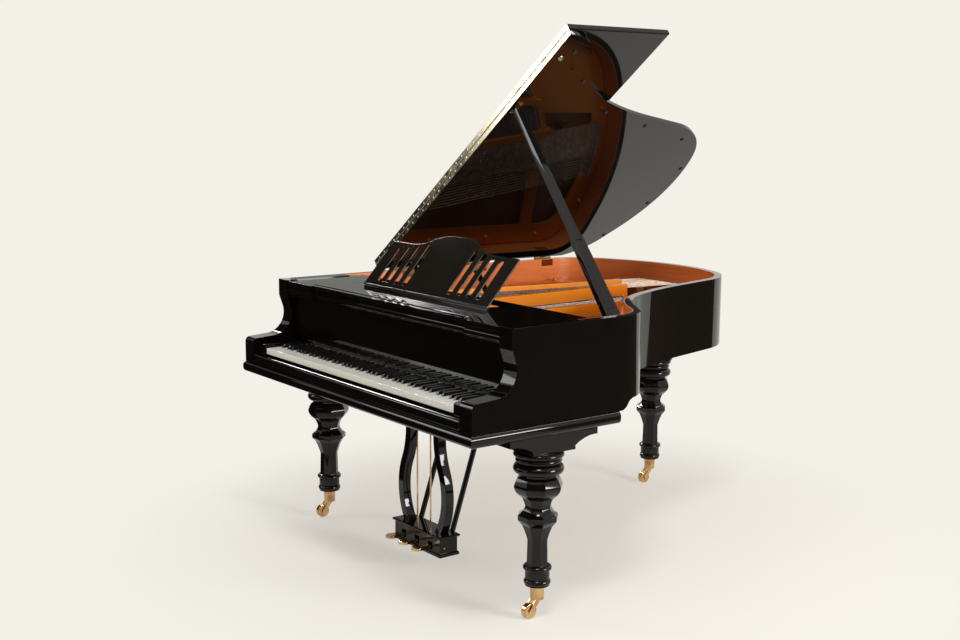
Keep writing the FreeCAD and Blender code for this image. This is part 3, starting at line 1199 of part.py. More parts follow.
def leg():
    disc, reed, ring, neck, bulb, widest, waist, collar, edge, shaft = levels(
        size("leg_top"), size("disc_high"), size("reed_high"), size("ring_high"), size("neck_high"),
        size("bulb_rise"), size("bulb_fall"), size("cove_high"), size("collar_high"), size("flare_high"))
    foot = size("leg_foot") + size("foot_high")
    ankle_neck = foot + size("ankle_neck_high")
    ankle = ankle_neck + size("ankle_high")
    groove = size("groove_radius")
    head = bulge(groove, size("disc_radius"), disc, reed) + bulge(groove, size("reed_radius"), reed, ring)
    head += bulge(groove, size("ring_radius"), ring, neck)
    head.append(Part.LineSegment(head[-1].EndPoint, Vector(size("neck_radius"), neck, 0)))
    head.append(Part.LineSegment(head[-1].EndPoint, Vector(size("neck_radius"), bulb, 0)))
    solid = turning(head)
    widest_at, waist_at = (size("bulb_radius"), widest), (size("waist_leg_radius"), waist)
    middle = ((widest_at[0] + waist_at[0]) / 2, (widest + waist) / 2)
    sides = [(size("neck_radius"), bulb)] + eased((size("neck_radius"), bulb), widest_at, 0.5)
    sides += eased(widest_at, middle, 2) + eased(middle, waist_at, 0.5)
    sides += eased(waist_at, (size("collar_radius"), collar), 2) + [(size("collar_radius"), edge)]
    sides += eased((size("collar_radius"), edge), (size("shaft_radius"), shaft), 0.6)
    sides.append((size("shaft_foot_radius"), ankle))
    solid = solid.fuse(Part.makeLoft([octagon(radius, z) for radius, z in sides], True, True))
    base = bulge(size("shaft_foot_radius"), size("ankle_radius"), ankle, ankle_neck)
    base.append(Part.LineSegment(base[-1].EndPoint, Vector(size("ankle_neck_radius"), ankle_neck, 0)))
    base.append(Part.LineSegment(base[-1].EndPoint, Vector(size("ankle_neck_radius"), foot, 0)))
    base += bulge(size("ankle_neck_radius"), size("foot_radius"), foot, size("leg_foot"))
    return solid.fuse(turning(base))


LEGS = [(name, x, size("leg_y")) for name, x in FRONT_LEGS]
LEGS.append(("tail", size("tail_leg_x"), tail_leg_y))
leg_shape = leg()
for name, x, y in LEGS:
    seat("leg_" + name, leg_shape, Placement(Vector(x, y, 0), Rotation()))

# Casters: ferrule on the foot of each leg, fork that swivels in it and wheel on the fork's axle
bore = size("stem_radius") + FIT
bore_top = size("ferrule_bottom") + size("stem_length")
ferrule_profile = polygon(
    (bore, size("ferrule_bottom")), (size("ferrule_radius"), size("ferrule_bottom")),
    (size("ferrule_top_radius"), size("leg_foot")), (0, size("leg_foot")), (0, bore_top), (bore, bore_top))
ferrules = [turned("ferrule_" + name, ferrule_profile, x, y) for name, x, y in LEGS]
caster_ferrules = doc.addObject("Part::Compound", "caster_ferrules")
caster_ferrules.Links = ferrules
parts["caster_ferrules"] = caster_ferrules


def fork():
    crown_top = size("ferrule_bottom") - GAP
    crown_low = crown_top - size("fork_crown")
    solid = rod_z(size("ferrule_radius"), crown_low, crown_top, 0, 0)
    solid = solid.fuse(rod_z(size("stem_radius"), crown_top, bore_top - GAP * 2, 0, 0))
    half = size("wheel_width") / 2 + GAP
    hub = size("axle_radius") * 2
    trail, axle = -size("wheel_trail"), size("wheel_radius")
    arm_top = crown_top - size("fork_crown") / 2
    for side in (-1, 1):
        x0, x1 = sorted((side * half, side * (half + size("fork_wall"))))
        arm = prism_x(polygon((hub, arm_top), (-hub * 2, arm_top), (trail - hub, axle), (trail, axle - hub),
                              (trail + hub, axle)), x0, x1)
        solid = solid.fuse(arm).fuse(rod_x(hub, x0, x1, trail, axle))
    return solid.fuse(rod_x(size("axle_radius"), -half, half, trail, axle)).removeSplitter()


def wheel():
    half = size("wheel_width") / 2
    solid = rod_x(size("wheel_radius"), -half, half, 0, 0)
    rims = [edge for edge in solid.Edges if edge.Closed]
    solid = solid.makeFillet(half / 4, rims)
    return solid.cut(rod_x(size("axle_radius") + FIT, -half, half, 0, 0))


fork_shape, wheel_shape = fork(), wheel()
for name, x, y in LEGS:
    seat("caster_fork_" + name, fork_shape, Placement(Vector(x, y, 0), Rotation()))
    axle_at = Vector(x, y - size("wheel_trail"), size("wheel_radius"))
    seat("caster_wheel_" + name, wheel_shape, Placement(axle_at, Rotation()))

# Lyre: head under the keybed, two bowed posts and the pedal box
lyre_half = size("lyre_post") / 2
head_low = KEYBED_Z - size("lyre_head_thick")
box_top = size("box_bottom") + size("box_height")
box_back = size("box_front") + size("box_depth")
lyre_head = block(-size("lyre_head_half"), size("lyre_head_half"), size("box_front"), box_back, head_low,
                  KEYBED_Z)
posts = []
belly_in = size("lyre_belly_turn") - size("lyre_bow_turn")
bow_drop = size("lyre_bow_radius") + size("lyre_belly_radius")
bow_drop *= math.sin(math.radians(size("lyre_bow_turn")))
belly_drop = size("lyre_belly_radius") * math.sin(math.radians(belly_in))
straight = head_low - box_top - bow_drop - belly_drop


def post_run(offset):
    """Middle line of the right post from the head down, moved outwards by an offset, as (x, z)."""
    return walk((size("lyre_top_x") + offset, head_low), -90, [
        (straight, 0), (size("lyre_bow_radius") - offset, size("lyre_bow_turn")),
        (size("lyre_belly_radius") + offset, -size("lyre_belly_turn")), (lyre_half * 2, 0)])[0]


outer, inner = post_run(lyre_half), post_run(-lyre_half)
post = prism_y(outer + inner + [Part.LineSegment(outer[0].StartPoint, inner[0].StartPoint),
                                Part.LineSegment(outer[-1].EndPoint, inner[-1].EndPoint)],
               size("lyre_y") - lyre_half, size("lyre_y") + lyre_half)
post = post.common(block(-BEYOND, BEYOND, 0, BEYOND, box_top, head_low))
seat("lyre_posts", Part.makeCompound([post, post.mirror(Vector(0, 0, 0), Vector(1, 0, 0))]))
pedal_box = block(-size("box_half"), size("box_half"), size("box_front"), box_back, size("box_bottom"),
                  box_top)
slot_half = size("pedal_bar") / 2 + size("pedal_room")
pedal_end = size("rod_y") + size("rod_radius") * 2
for name, place in PEDALS:
    x = place * size("pedal_pitch")
    slot_end = pedal_end + size("pedal_room")
    pedal_box = pedal_box.cut(block(x - slot_half, x + slot_half, size("box_front"), slot_end,
                                    size("pedal_z") - size("pedal_swing_room"),
                                    size("pedal_z") + size("pedal_swing_room")))
    hole = size("rod_radius") + size("rod_clearance")
    pedal_box = pedal_box.cut(rod_z(hole, size("pedal_z"), box_top, x, size("rod_y")))
    lyre_head = lyre_head.cut(rod_z(hole, head_low, KEYBED_Z, x, size("rod_y")))
pedal_box = pedal_box.cut(rod_x(size("pedal_pin"), -size("box_half"), size("box_half"), size("pedal_axis_y"),
                                size("pedal_z")))
seat("lyre_head", lyre_head)
seat("pedal_box", pedal_box)
seat("pedal_pivot_rod", rod_x(size("pedal_pin"), -size("box_half"), size("box_half"), size("pedal_axis_y"),
                              size("pedal_z")))


def pedal():
    """Flat lever with a rounded pad at its tip, drawn as (x, y)."""
    bar_half, pad_half = size("pedal_bar") / 2, size("pedal_pad") / 2
    tip, pad_end = size("pedal_tip_y"), size("pedal_tip_y") + size("pedal_pad_length")
    round_y = tip + pad_half
    outline = [Part.Arc(Vector(-pad_half, round_y, 0), Vector(0, tip, 0), Vector(pad_half, round_y, 0))]
    outline = closed(outline, (bar_half, pad_end), (bar_half, pedal_end), (-bar_half, pedal_end),
                     (-bar_half, pad_end))
    low = size("pedal_z") - size("pedal_thick") / 2
    solid = prism_z(outline, low, low + size("pedal_thick"))
    high = low + size("pedal_thick")
    top = [edge for edge in solid.Edges if edge.CenterOfMass.z > high - GAP and edge.CenterOfMass.y < pad_end]
    solid = solid.makeFillet(size("pedal_thick") / 4, top)
    bore = rod_x(size("pedal_pin") + FIT, -bar_half, bar_half, size("pedal_axis_y"), size("pedal_z"))
    return solid.cut(bore)


pedal_shape = pedal()
rod_low = size("pedal_z") + size("pedal_thick") / 2 + size("rod_lift_gap")
for name, place in PEDALS:
    across = Placement(Vector(place * size("pedal_pitch"), 0, 0), Rotation())
    seat("pedal_" + name, pedal_shape, across)
    seat("pedal_rod_" + name, rod_z(size("rod_radius"), rod_low, size("rod_top"), 0, size("rod_y")), across)

# Braces from the keybed down to the back of the pedal box
braces = []
for side in (-1, 1):
    foot = Vector(side * size("brace_x"), box_back, size("brace_foot_z") - size("brace_radius") * 4)
    head = Vector(side * size("brace_x"), size("brace_head_y"), KEYBED_Z)
    along = head - foot
    rod = Part.makeCylinder(size("brace_radius"), along.Length * 2, foot - along * 0.5, along)
    braces.append(rod.common(block(-HALF, HALF, box_back, HALF * 2, size("box_bottom"), KEYBED_Z)))
seat("lyre_braces", Part.makeCompound(braces))

# Write each sub-part to its own file
doc.recompute()
os.makedirs("parts", exist_ok=True)
for item in doc.Objects:
    if "Invalid" in item.State or "Error" in item.State:
        raise RuntimeError("%s failed: %s" % (item.Label, item.State))
for label, item in parts.items():
    if item.Shape.isNull() or not item.Shape.isValid():
        raise RuntimeError("%s has no valid shape" % label)
for label, item in parts.items():
    item.Shape.exportStep("parts/%s.step" % label)
    print(label, len(item.Shape.Solids), round(item.Shape.Volume / 1000))
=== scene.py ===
"""Grand piano with its lid up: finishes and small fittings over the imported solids, in metres."""
import bpy
import bmesh
import math
from mathutils import Matrix, Vector


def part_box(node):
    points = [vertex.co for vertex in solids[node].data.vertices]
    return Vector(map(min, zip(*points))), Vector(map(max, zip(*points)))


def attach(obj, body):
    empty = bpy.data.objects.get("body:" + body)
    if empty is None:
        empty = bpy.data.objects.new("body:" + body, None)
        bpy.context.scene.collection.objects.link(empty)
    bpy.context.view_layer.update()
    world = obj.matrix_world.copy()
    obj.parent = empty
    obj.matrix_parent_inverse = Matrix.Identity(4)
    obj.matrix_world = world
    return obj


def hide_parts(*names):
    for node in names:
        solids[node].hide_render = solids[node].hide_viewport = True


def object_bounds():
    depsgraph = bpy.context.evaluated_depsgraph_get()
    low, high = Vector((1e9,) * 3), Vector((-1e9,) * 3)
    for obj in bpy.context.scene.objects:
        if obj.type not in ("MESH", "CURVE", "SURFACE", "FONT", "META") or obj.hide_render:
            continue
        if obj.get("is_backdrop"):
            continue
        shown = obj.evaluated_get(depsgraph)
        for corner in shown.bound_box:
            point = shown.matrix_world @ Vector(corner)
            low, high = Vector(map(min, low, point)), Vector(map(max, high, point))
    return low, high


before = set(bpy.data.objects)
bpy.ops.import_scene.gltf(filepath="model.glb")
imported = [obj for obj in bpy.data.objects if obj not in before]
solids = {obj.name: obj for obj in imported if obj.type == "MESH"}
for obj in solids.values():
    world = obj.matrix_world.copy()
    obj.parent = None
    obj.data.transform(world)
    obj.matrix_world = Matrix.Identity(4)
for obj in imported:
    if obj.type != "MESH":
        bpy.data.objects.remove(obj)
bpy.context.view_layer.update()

# Camera: in front of the treble arm at about eye height. Its place, angles and lens come from the
# straight lines of the case in the photograph.
bpy.context.scene.view_settings.view_transform = "Standard"
for leftover in [item for item in bpy.data.objects if item.type in {"CAMERA", "LIGHT"}]:
    bpy.data.objects.remove(leftover)
camera = bpy.data.objects.new("camera", bpy.data.cameras.new("camera"))
bpy.context.scene.collection.objects.link(camera)
camera.data.sensor_width = 36
camera.data.lens = 48.82
camera.data.clip_end = 200
yaw, pitch, roll = math.radians(53.44), math.radians(8.86), math.radians(0.34)
camera.matrix_world = (Matrix.Translation((3.7687, -3.1258, 1.5902)) @ Matrix.Rotation(yaw, 4, "Z")
                       @ Matrix.Rotation(math.pi / 2 - pitch, 4, "X") @ Matrix.Rotation(roll, 4, "Z"))
bpy.context.scene.camera = camera

# Outer rim and arms: bent layers of wood under black polyester, sanded and buffed to a mirror.
# The film is a little uneven over large areas, and carries fine dust and polishing haze.


def new_group(name, inputs, outputs):
    """Shader group with float or colour sockets, given as (name, kind, value)."""
    group = bpy.data.node_groups.new(name, "ShaderNodeTree")
    for label, kind, value in inputs:
        socket = group.interface.new_socket(label, in_out="INPUT", socket_type="NodeSocket" + kind)
        if value is not None:
            socket.default_value = value
    for label, kind in outputs:
        group.interface.new_socket(label, in_out="OUTPUT", socket_type="NodeSocket" + kind)
    return group, group.nodes.new("NodeGroupInput"), group.nodes.new("NodeGroupOutput")


def add(tree, kind, values=None, **settings):
    """Node with its settings and the values of its inputs, which may be sockets to link from."""
    node = tree.nodes.new(kind)
    for key, value in settings.items():
        setattr(node, key, value)
    for key, value in (values or {}).items():
        if isinstance(value, bpy.types.NodeSocket):
            tree.links.new(value, node.inputs[key])
        else:
            node.inputs[key].default_value = value
    return node


def spread(tree, value, low, high):
    """Map a value from 0..1 to low..high."""
    return add(tree, "ShaderNodeMapRange", {0: value, 3: low, 4: high}).outputs[0]


film, given, result = new_group(
    "Polished film",
    [("Smooth", "Float", 0.02), ("Hazy", "Float", 0.06), ("Ripple", "Float", 2.2), ("Dust", "Float", 420.0)],
    [("Roughness", "Float"), ("Height", "Float")])
place = add(film, "ShaderNodeTexCoord").outputs["Object"]
cloud = add(film, "ShaderNodeTexNoise", {"Vector": place, "Scale": 5.0, "Detail": 3.0}).outputs["Fac"]
speck = add(film, "ShaderNodeTexNoise", {"Vector": place, "Scale": given.outputs["Dust"], "Detail": 1.0})
speck = add(film, "ShaderNodeMapRange", {0: speck.outputs["Fac"], 1: 0.62, 2: 0.8, 3: 0.0, 4: 0.25})
shade = add(film, "ShaderNodeMath", {0: cloud, 1: speck.outputs[0]}, operation="ADD").outputs[0]
haze = add(film, "ShaderNodeMapRange", {0: shade, 1: 0.3, 2: 0.9, 3: given.outputs["Smooth"],
                                       4: given.outputs["Hazy"]}).outputs[0]
wave = add(film, "ShaderNodeTexNoise", {"Vector": place, "Scale": given.outputs["Ripple"], "Detail": 1.0})
film.links.new(haze, result.inputs["Roughness"])
film.links.new(wave.outputs["Fac"], result.inputs["Height"])


def new_finish(name):
    """Empty material with a Principled shader; gives the material, its tree and the shader."""
    material = bpy.data.materials.new(name)
    material.use_nodes = True
    tree = material.node_tree
    return material, tree, tree.nodes["Principled BSDF"]


def use_group(tree, group, **values):
    """Place a shader group in a material, with values or sockets for its inputs."""
    node = tree.nodes.new("ShaderNodeGroup")
    node.node_tree = group
    for key, value in values.items():
        label = key.replace("_", " ")
        if isinstance(value, bpy.types.NodeSocket):
            tree.links.new(value, node.inputs[label])
        else:
            node.inputs[label].default_value = value
    return node


def bump(tree, shader, height, strength, distance):
    """Raise a finish a little by a height that varies over it."""
    node = add(tree, "ShaderNodeBump", {"Strength": strength, "Distance": distance, "Height": height})
    tree.links.new(node.outputs["Normal"], shader.inputs["Normal"])


def coated(name, colour, smooth, hazy, level):
    """Lacquer of one colour with the polished film over it."""
    material, tree, shader = new_finish(name)
    coat = use_group(tree, film, Smooth=smooth, Hazy=hazy)
    tint = add(tree, "ShaderNodeTexNoise", {"Scale": 14.0, "Detail": 2.0})
    tree.links.new(add(tree, "ShaderNodeTexCoord").outputs["Object"], tint.inputs["Vector"])
    deep = [channel * 0.6 for channel in colour[:3]] + [1]
    mixed = add(tree, "ShaderNodeMix", {0: tint.outputs["Fac"], 6: deep, 7: list(colour[:3]) + [1]},
                data_type="RGBA")
    tree.links.new(mixed.outputs[2], shader.inputs["Base Color"])
    tree.links.new(coat.outputs["Roughness"], shader.inputs["Roughness"])
    shader.inputs["Specular IOR Level"].default_value = level
    bump(tree, shader, coat.outputs["Height"], 0.05, 0.004)
    return material


def dress(material, *nodes):
    """Give the solids of some nodes their finish."""
    for node in nodes:
        solids[node].data.materials.clear()
        solids[node].data.materials.append(material)


def soften(width, *nodes, segments=2):
    """Round a node's sharp edges a little, so that they catch the light."""
    for node in nodes:
        solid = solids[node]
        for polygon in solid.data.polygons:
            polygon.use_smooth = True
        weld = solid.modifiers.new("weld", "WELD")
        weld.merge_threshold = 2e-5
        edge = solid.modifiers.new("edge", "BEVEL")
        edge.width = width
        edge.segments = segments
        edge.limit_method = "ANGLE"
        edge.angle_limit = math.radians(35)
        flat = solid.modifiers.new("flat", "WEIGHTED_NORMAL")
        flat.weight = 100
        flat.keep_sharp = True


lacquer = coated("black_lacquer", (0.0042, 0.0034, 0.0030), 0.02, 0.06, 0.3)
dress(lacquer, "outer_rim")
soften(0.0015, "outer_rim")

# Inner rim: the same bent layers, faced inside with a reddish flame veneer under clear lacquer.
# The grain runs round the rim, so it varies quickly in height and slowly along the wall.
grain, given, result = new_group(
    "Wood grain",
    [("Vector", "Vector", None), ("Early wood", "Color", (0.6, 0.3, 0.1, 1)),
     ("Late wood", "Color", (0.3, 0.1, 0.03, 1)), ("Rings", "Float", 60.0), ("Figure", "Float", 4.0)],
    [("Color", "Color"), ("Roughness", "Float"), ("Height", "Float")])
warp = add(grain, "ShaderNodeTexNoise", {"Vector": given.outputs["Vector"], "Scale": given.outputs["Figure"],
                                         "Detail": 4.0})
bent = add(grain, "ShaderNodeVectorMath", {0: warp.outputs["Color"], "Scale": 0.35}, operation="SCALE")
moved = add(grain, "ShaderNodeVectorMath", {0: given.outputs["Vector"], 1: bent.outputs[0]}, operation="ADD")
rings = add(grain, "ShaderNodeTexNoise", {"Vector": moved.outputs[0], "Scale": given.outputs["Rings"],
                                          "Detail": 5.0, "Roughness": 0.65})
share = add(grain, "ShaderNodeMapRange", {0: rings.outputs["Fac"], 1: 0.32, 2: 0.68}).outputs[0]
wood = add(grain, "ShaderNodeMix", {0: share, 6: given.outputs["Late wood"], 7: given.outputs["Early wood"]},
           data_type="RGBA")
grain.links.new(wood.outputs[2], result.inputs["Color"])
grain.links.new(spread(grain, share, 0.34, 0.22), result.inputs["Roughness"])
grain.links.new(share, result.inputs["Height"])


def wooden(name, early, late, stretch, turn=(0, 0, 0), rings=1.0, figure=0.12, gloss=0.5, depth=0.0004):
    """Wood whose grain is stretched along one direction of the piece."""
    material, tree, shader = new_finish(name)
    place = add(tree, "ShaderNodeMapping", {"Scale": stretch, "Rotation": turn})
    tree.links.new(add(tree, "ShaderNodeTexCoord").outputs["Object"], place.inputs["Vector"])
    lines = use_group(tree, grain, Vector=place.outputs[0], Early_wood=early, Late_wood=late, Rings=rings,
                      Figure=figure)
    tree.links.new(lines.outputs["Color"], shader.inputs["Base Color"])
    tree.links.new(lines.outputs["Roughness"], shader.inputs["Roughness"])
    shader.inputs["Specular IOR Level"].default_value = gloss
    bump(tree, shader, lines.outputs["Height"], 0.25, depth)
    return material


veneer = wooden("rim_veneer", (0.96, 0.275, 0.072, 1), (0.72, 0.18, 0.042, 1), (5, 5, 120), figure=0.3)
dress(veneer, "inner_rim")

# Soundboard of quartered spruce with its ribs and posts below: narrow straight grain, which runs
# from the bass corner of the keyboard to the treble side of the tail, under an amber varnish.
board_slant = math.radians(35)
spruce = wooden("spruce", (0.40, 0.17, 0.052, 1), (0.27, 0.105, 0.030, 1), (260, 9, 9), (0, 0, board_slant))
dress(spruce, "soundboard", "soundboard_ribs")
posts_wood = wooden("post_spruce", (0.66, 0.45, 0.24, 1), (0.48, 0.30, 0.14, 1), (60, 6, 60))
dress(posts_wood, "back_frame")

# Bridges and pin block of hard maple. The bridges are stained brown and glued to the soundboard, and the
# pin block is left pale and bolted up under the plate.
maple = wooden("maple", (0.66, 0.46, 0.27, 1), (0.52, 0.33, 0.17, 1), (8, 90, 90))
dress(maple, "pin_block")
stained_maple = wooden("stained_maple", (0.26, 0.10, 0.035, 1), (0.17, 0.06, 0.02, 1), (8, 90, 90))
dress(stained_maple, "bridges")

# Iron plate: cast grey iron, filled, sprayed with bronze powder in lacquer and cleared.
# Small powder grains sparkle, and the casting is not quite flat.
bronze, tree, shader = new_finish("bronzed_iron")
place = add(tree, "ShaderNodeTexCoord").outputs["Object"]
flow = add(tree, "ShaderNodeTexNoise", {"Vector": place, "Scale": 9.0, "Detail": 3.0}).outputs["Fac"]
powder = add(tree, "ShaderNodeTexNoise", {"Vector": place, "Scale": 900.0, "Detail": 1.0}).outputs["Fac"]
tone = add(tree, "ShaderNodeMix", {0: flow, 6: (0.93, 0.25, 0.008, 1), 7: (0.98, 0.33, 0.015, 1)},
           data_type="RGBA")
tree.links.new(tone.outputs[2], shader.inputs["Base Color"])
tree.links.new(spread(tree, powder, 0.22, 0.38), shader.inputs["Roughness"])
shader.inputs["Metallic"].default_value = 0.25
shader.inputs["Coat Weight"].default_value = 0.15
shader.inputs["Coat Roughness"].default_value = 0.08
bump(tree, shader, flow, 0.2, 0.003)
dress(bronze, "iron_plate")
soften(0.009, "iron_plate", segments=3)

# Strings: three plain steel wires to a note, two copper-wound ones in the tenor end of the bass and one
# below that. They run from the tuning pins over the plate to the hitch pins.


def merged(node):
    """Copy of a solid's mesh with its loose triangles joined."""
    mesh = bmesh.new()
    mesh.from_mesh(solids[node].data)
    bmesh.ops.remove_doubles(mesh, verts=mesh.verts, dist=1e-5)
    return mesh


def string_runs(node):
    """Front and back end of each note's string, from the bass up."""
    mesh = merged(node)
    waiting = set(mesh.verts)
    runs = []
    while waiting:
        island, edge = set(), [waiting.pop()]
        while edge:
            vert = edge.pop()
            island.add(vert)
            for link in vert.link_edges:
                other = link.other_vert(vert)
                if other in waiting:
                    waiting.discard(other)
                    edge.append(other)
        places = sorted((vert.co.copy() for vert in island), key=lambda co: co.y)
        half = len(places) // 2
        front = sum(places[:half], Vector()) / half
        back = sum(places[half:], Vector()) / (len(places) - half)
        runs.append((front, back))
    mesh.free()
    return sorted(runs, key=lambda run: run[0].x)


def new_piece(name, verts, edges=(), faces=()):
    """Object with a mesh of its own, at the origin."""
    mesh = bpy.data.meshes.new(name)
    mesh.from_pydata([tuple(vert) for vert in verts], edges, faces)
    piece = bpy.data.objects.new(name, mesh)
    bpy.context.scene.collection.objects.link(piece)
    return piece


def new_tree(name, *inputs):
    """Geometry Nodes tree with a geometry going in and out, and the named inputs."""
    tree = bpy.data.node_groups.new(name, "GeometryNodeTree")
    tree.interface.new_socket("Geometry", in_out="INPUT", socket_type="NodeSocketGeometry")
    for label, kind in inputs:
        tree.interface.new_socket(label, in_out="INPUT", socket_type="NodeSocket" + kind)
    tree.interface.new_socket("Geometry", in_out="OUTPUT", socket_type="NodeSocketGeometry")
    return tree, tree.nodes.new("NodeGroupInput"), tree.nodes.new("NodeGroupOutput")


def grow(piece, tree, **values):
    """Run a tree on a piece and keep the result as its plain mesh."""
    modifier = piece.modifiers.new("grow", "NODES")
    modifier.node_group = tree
    for item in tree.interface.items_tree:
        if item.item_type == "SOCKET" and item.in_out == "INPUT" and item.name in values:
            modifier[item.identifier] = values[item.name]
    ready = piece.evaluated_get(bpy.context.evaluated_depsgraph_get())
    mesh = bpy.data.meshes.new_from_object(ready)
    piece.modifiers.clear()
    piece.data = mesh
    return piece


wires, given, result = new_tree("Round wires", ("Radius", "Float"), ("Sides", "Int"),
                                ("Material", "Material"))
line = add(wires, "GeometryNodeMeshToCurve", {"Mesh": given.outputs["Geometry"]})
ring = add(wires, "GeometryNodeCurvePrimitiveCircle", {"Radius": given.outputs["Radius"],
                                                      "Resolution": given.outputs["Sides"]})
tube = add(wires, "GeometryNodeCurveToMesh", {"Curve": line.outputs[0], "Profile Curve": ring.outputs[0],
                                             "Fill Caps": True})
smooth = add(wires, "GeometryNodeSetShadeSmooth", {"Geometry": tube.outputs[0]})
real = add(wires, "GeometryNodeRealizeInstances", {"Geometry": smooth.outputs[0]})
paint = add(wires, "GeometryNodeSetMaterial", {"Geometry": real.outputs[0],
                                               "Material": given.outputs["Material"]})
wires.links.new(paint.outputs[0], result.inputs[0])

age, given, result = new_group(
    "Metal age",
    [("Bright", "Color", (0.8, 0.8, 0.8, 1)), ("Dull", "Color", (0.5, 0.5, 0.5, 1)), ("Patch", "Float", 18.0),
     ("Polish", "Float", 0.1), ("Wear", "Float", 0.3)],
    [("Color", "Color"), ("Roughness", "Float"), ("Height", "Float")])
place = add(age, "ShaderNodeTexCoord").outputs["Object"]
patch = add(age, "ShaderNodeTexNoise", {"Vector": place, "Scale": given.outputs["Patch"], "Detail": 5.0})
mask = add(age, "ShaderNodeMapRange", {0: patch.outputs["Fac"], 1: 0.42, 2: 0.72}).outputs[0]
hue = add(age, "ShaderNodeMix", {0: mask, 6: given.outputs["Bright"], 7: given.outputs["Dull"]},
          data_type="RGBA")
rub = add(age, "ShaderNodeMapRange", {0: mask, 3: given.outputs["Polish"], 4: given.outputs["Wear"]})
fine = add(age, "ShaderNodeTexNoise", {"Vector": place, "Scale": 700.0, "Detail": 1.0}).outputs["Fac"]
age.links.new(hue.outputs[2], result.inputs["Color"])
age.links.new(rub.outputs[0], result.inputs["Roughness"])
age.links.new(fine, result.inputs["Height"])


def metal(name, bright, dull, patch, polish, wear, depth=0.00005):
    """Metal whose polish has gone dull in patches."""
    material, tree, shader = new_finish(name)
    aged = use_group(tree, age, Bright=bright, Dull=dull, Patch=patch, Polish=polish, Wear=wear)
    tree.links.new(aged.outputs["Color"], shader.inputs["Base Color"])
    tree.links.new(aged.outputs["Roughness"], shader.inputs["Roughness"])
    shader.inputs["Metallic"].default_value = 1.0
    bump(tree, shader, aged.outputs["Height"], 0.1, depth)
    return material


music_wire = metal("music_wire", (0.52, 0.52, 0.53, 1), (0.36, 0.36, 0.37, 1), 40, 0.18, 0.32)
copper_wire = metal("copper_winding", (0.62, 0.47, 0.38, 1), (0.46, 0.32, 0.24, 1), 60, 0.25, 0.42)
plain_runs, wound_runs = string_runs("plain_strings"), string_runs("wound_strings")


def strung(name, runs, unisons, radius, material, node):
    """Wires of the given notes; unisons gives the sideways places of a note's wires."""
    verts, edges = [], []
    for index, (front, back) in enumerate(runs):
        along = (back - front).normalized()
        aside = Vector((along.y, -along.x, 0))
        for shift in unisons(index):
            edges.append((len(verts), len(verts) + 1))
            verts += [front + aside * shift, back + aside * shift]
    piece = grow(new_piece(name, verts, edges), wires, Radius=radius, Sides=6, Material=material)
    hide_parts(node)
    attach(piece, "case")


def trichord(index):
    """Sideways places of a note's three plain wires."""
    return (-0.0036, 0.0, 0.0036)


def bass_unison(index):
    """Sideways place of the one wire in the low bass, and of the two wires above it."""
    return (0.0,) if index < 8 else (-0.003, 0.003)


strung("plain_wires", plain_runs, trichord, 0.00055, music_wire, "plain_strings")
strung("wound_wires", wound_runs, bass_unison, 0.0016, copper_wire, "wound_strings")

# Tuning pins: blued steel, driven through the plate into the pin block, with a squared top for the
# tuning key and a few turns of wire round each one. There is one pin to each wire.
setting, given, result = new_tree("Set on points", ("Piece", "Object"), ("Turn", "Vector"),
                                  ("Material", "Material"))
source = add(setting, "GeometryNodeObjectInfo", {"Object": given.outputs["Piece"]})
facing = add(setting, "FunctionNodeEulerToRotation", {0: given.outputs["Turn"]})
copies = add(setting, "GeometryNodeInstanceOnPoints", {"Points": given.outputs["Geometry"],
                                                      "Instance": source.outputs["Geometry"],
                                                      "Rotation": facing.outputs[0]})
real = add(setting, "GeometryNodeRealizeInstances", {"Geometry": copies.outputs[0]})
paint = add(setting, "GeometryNodeSetMaterial", {"Geometry": real.outputs[0],
                                                 "Material": given.outputs["Material"]})
setting.links.new(paint.outputs[0], result.inputs[0])


def turned_mesh(name, profile, sides=12):
    """Small turned piece about Z from (radius, z) points, from the foot up, closed at both ends."""
    verts, faces = [], []
    for radius, z in profile:
        for side in range(sides):
            angle = 2 * math.pi * side / sides
            verts.append((radius * math.cos(angle), radius * math.sin(angle), z))
    for level in range(len(profile) - 1):
        for side in range(sides):
            after = (side + 1) % sides
            faces.append((level * sides + side, level * sides + after, (level + 1) * sides + after,
                          (level + 1) * sides + side))
    faces.append(tuple(range(sides))[::-1])
    faces.append(tuple(range((len(profile) - 1) * sides, len(profile) * sides)))
    return new_piece(name, verts, (), faces)


def set_pieces(name, sample, points, material, body, turn=(0, 0, 0), smooth=False):
    """Set copies of a sample at the points, all turned alike, as one piece of a body."""
    for polygon in sample.data.polygons:
        polygon.use_smooth = smooth
    piece = grow(new_piece(name, points), setting, Piece=sample, Turn=turn, Material=material)
    bpy.data.objects.remove(sample)
    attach(piece, body)
    return piece


blued = metal("blued_steel", (0.42, 0.43, 0.46, 1), (0.26, 0.26, 0.29, 1), 120, 0.2, 0.4)
pin_low, pin_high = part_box("tuning_pins")
pin_setback, pin_row = 0.0038, 0.0085
pin_points = []
for runs, unisons in ((wound_runs, bass_unison), (plain_runs, trichord)):
    for index, (front, back) in enumerate(runs):
        for order, shift in enumerate(unisons(index)):
            pin_points.append((front.x + shift, front.y - pin_setback - pin_row * (1 - order), pin_low.z))
tall = pin_high.z - pin_low.z
pin_profile = [(0.0034, 0), (0.0034, 0.25), (0.0046, 0.28), (0.0046, 0.5), (0.0034, 0.53), (0.0033, 0.72),
               (0.0025, 0.78), (0.0022, 1)]
pin = turned_mesh("pin", [(radius, tall * share) for radius, share in pin_profile], 8)
pins = set_pieces("tuning_pin_set", pin, pin_points, blued, "case")
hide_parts("tuning_pins")

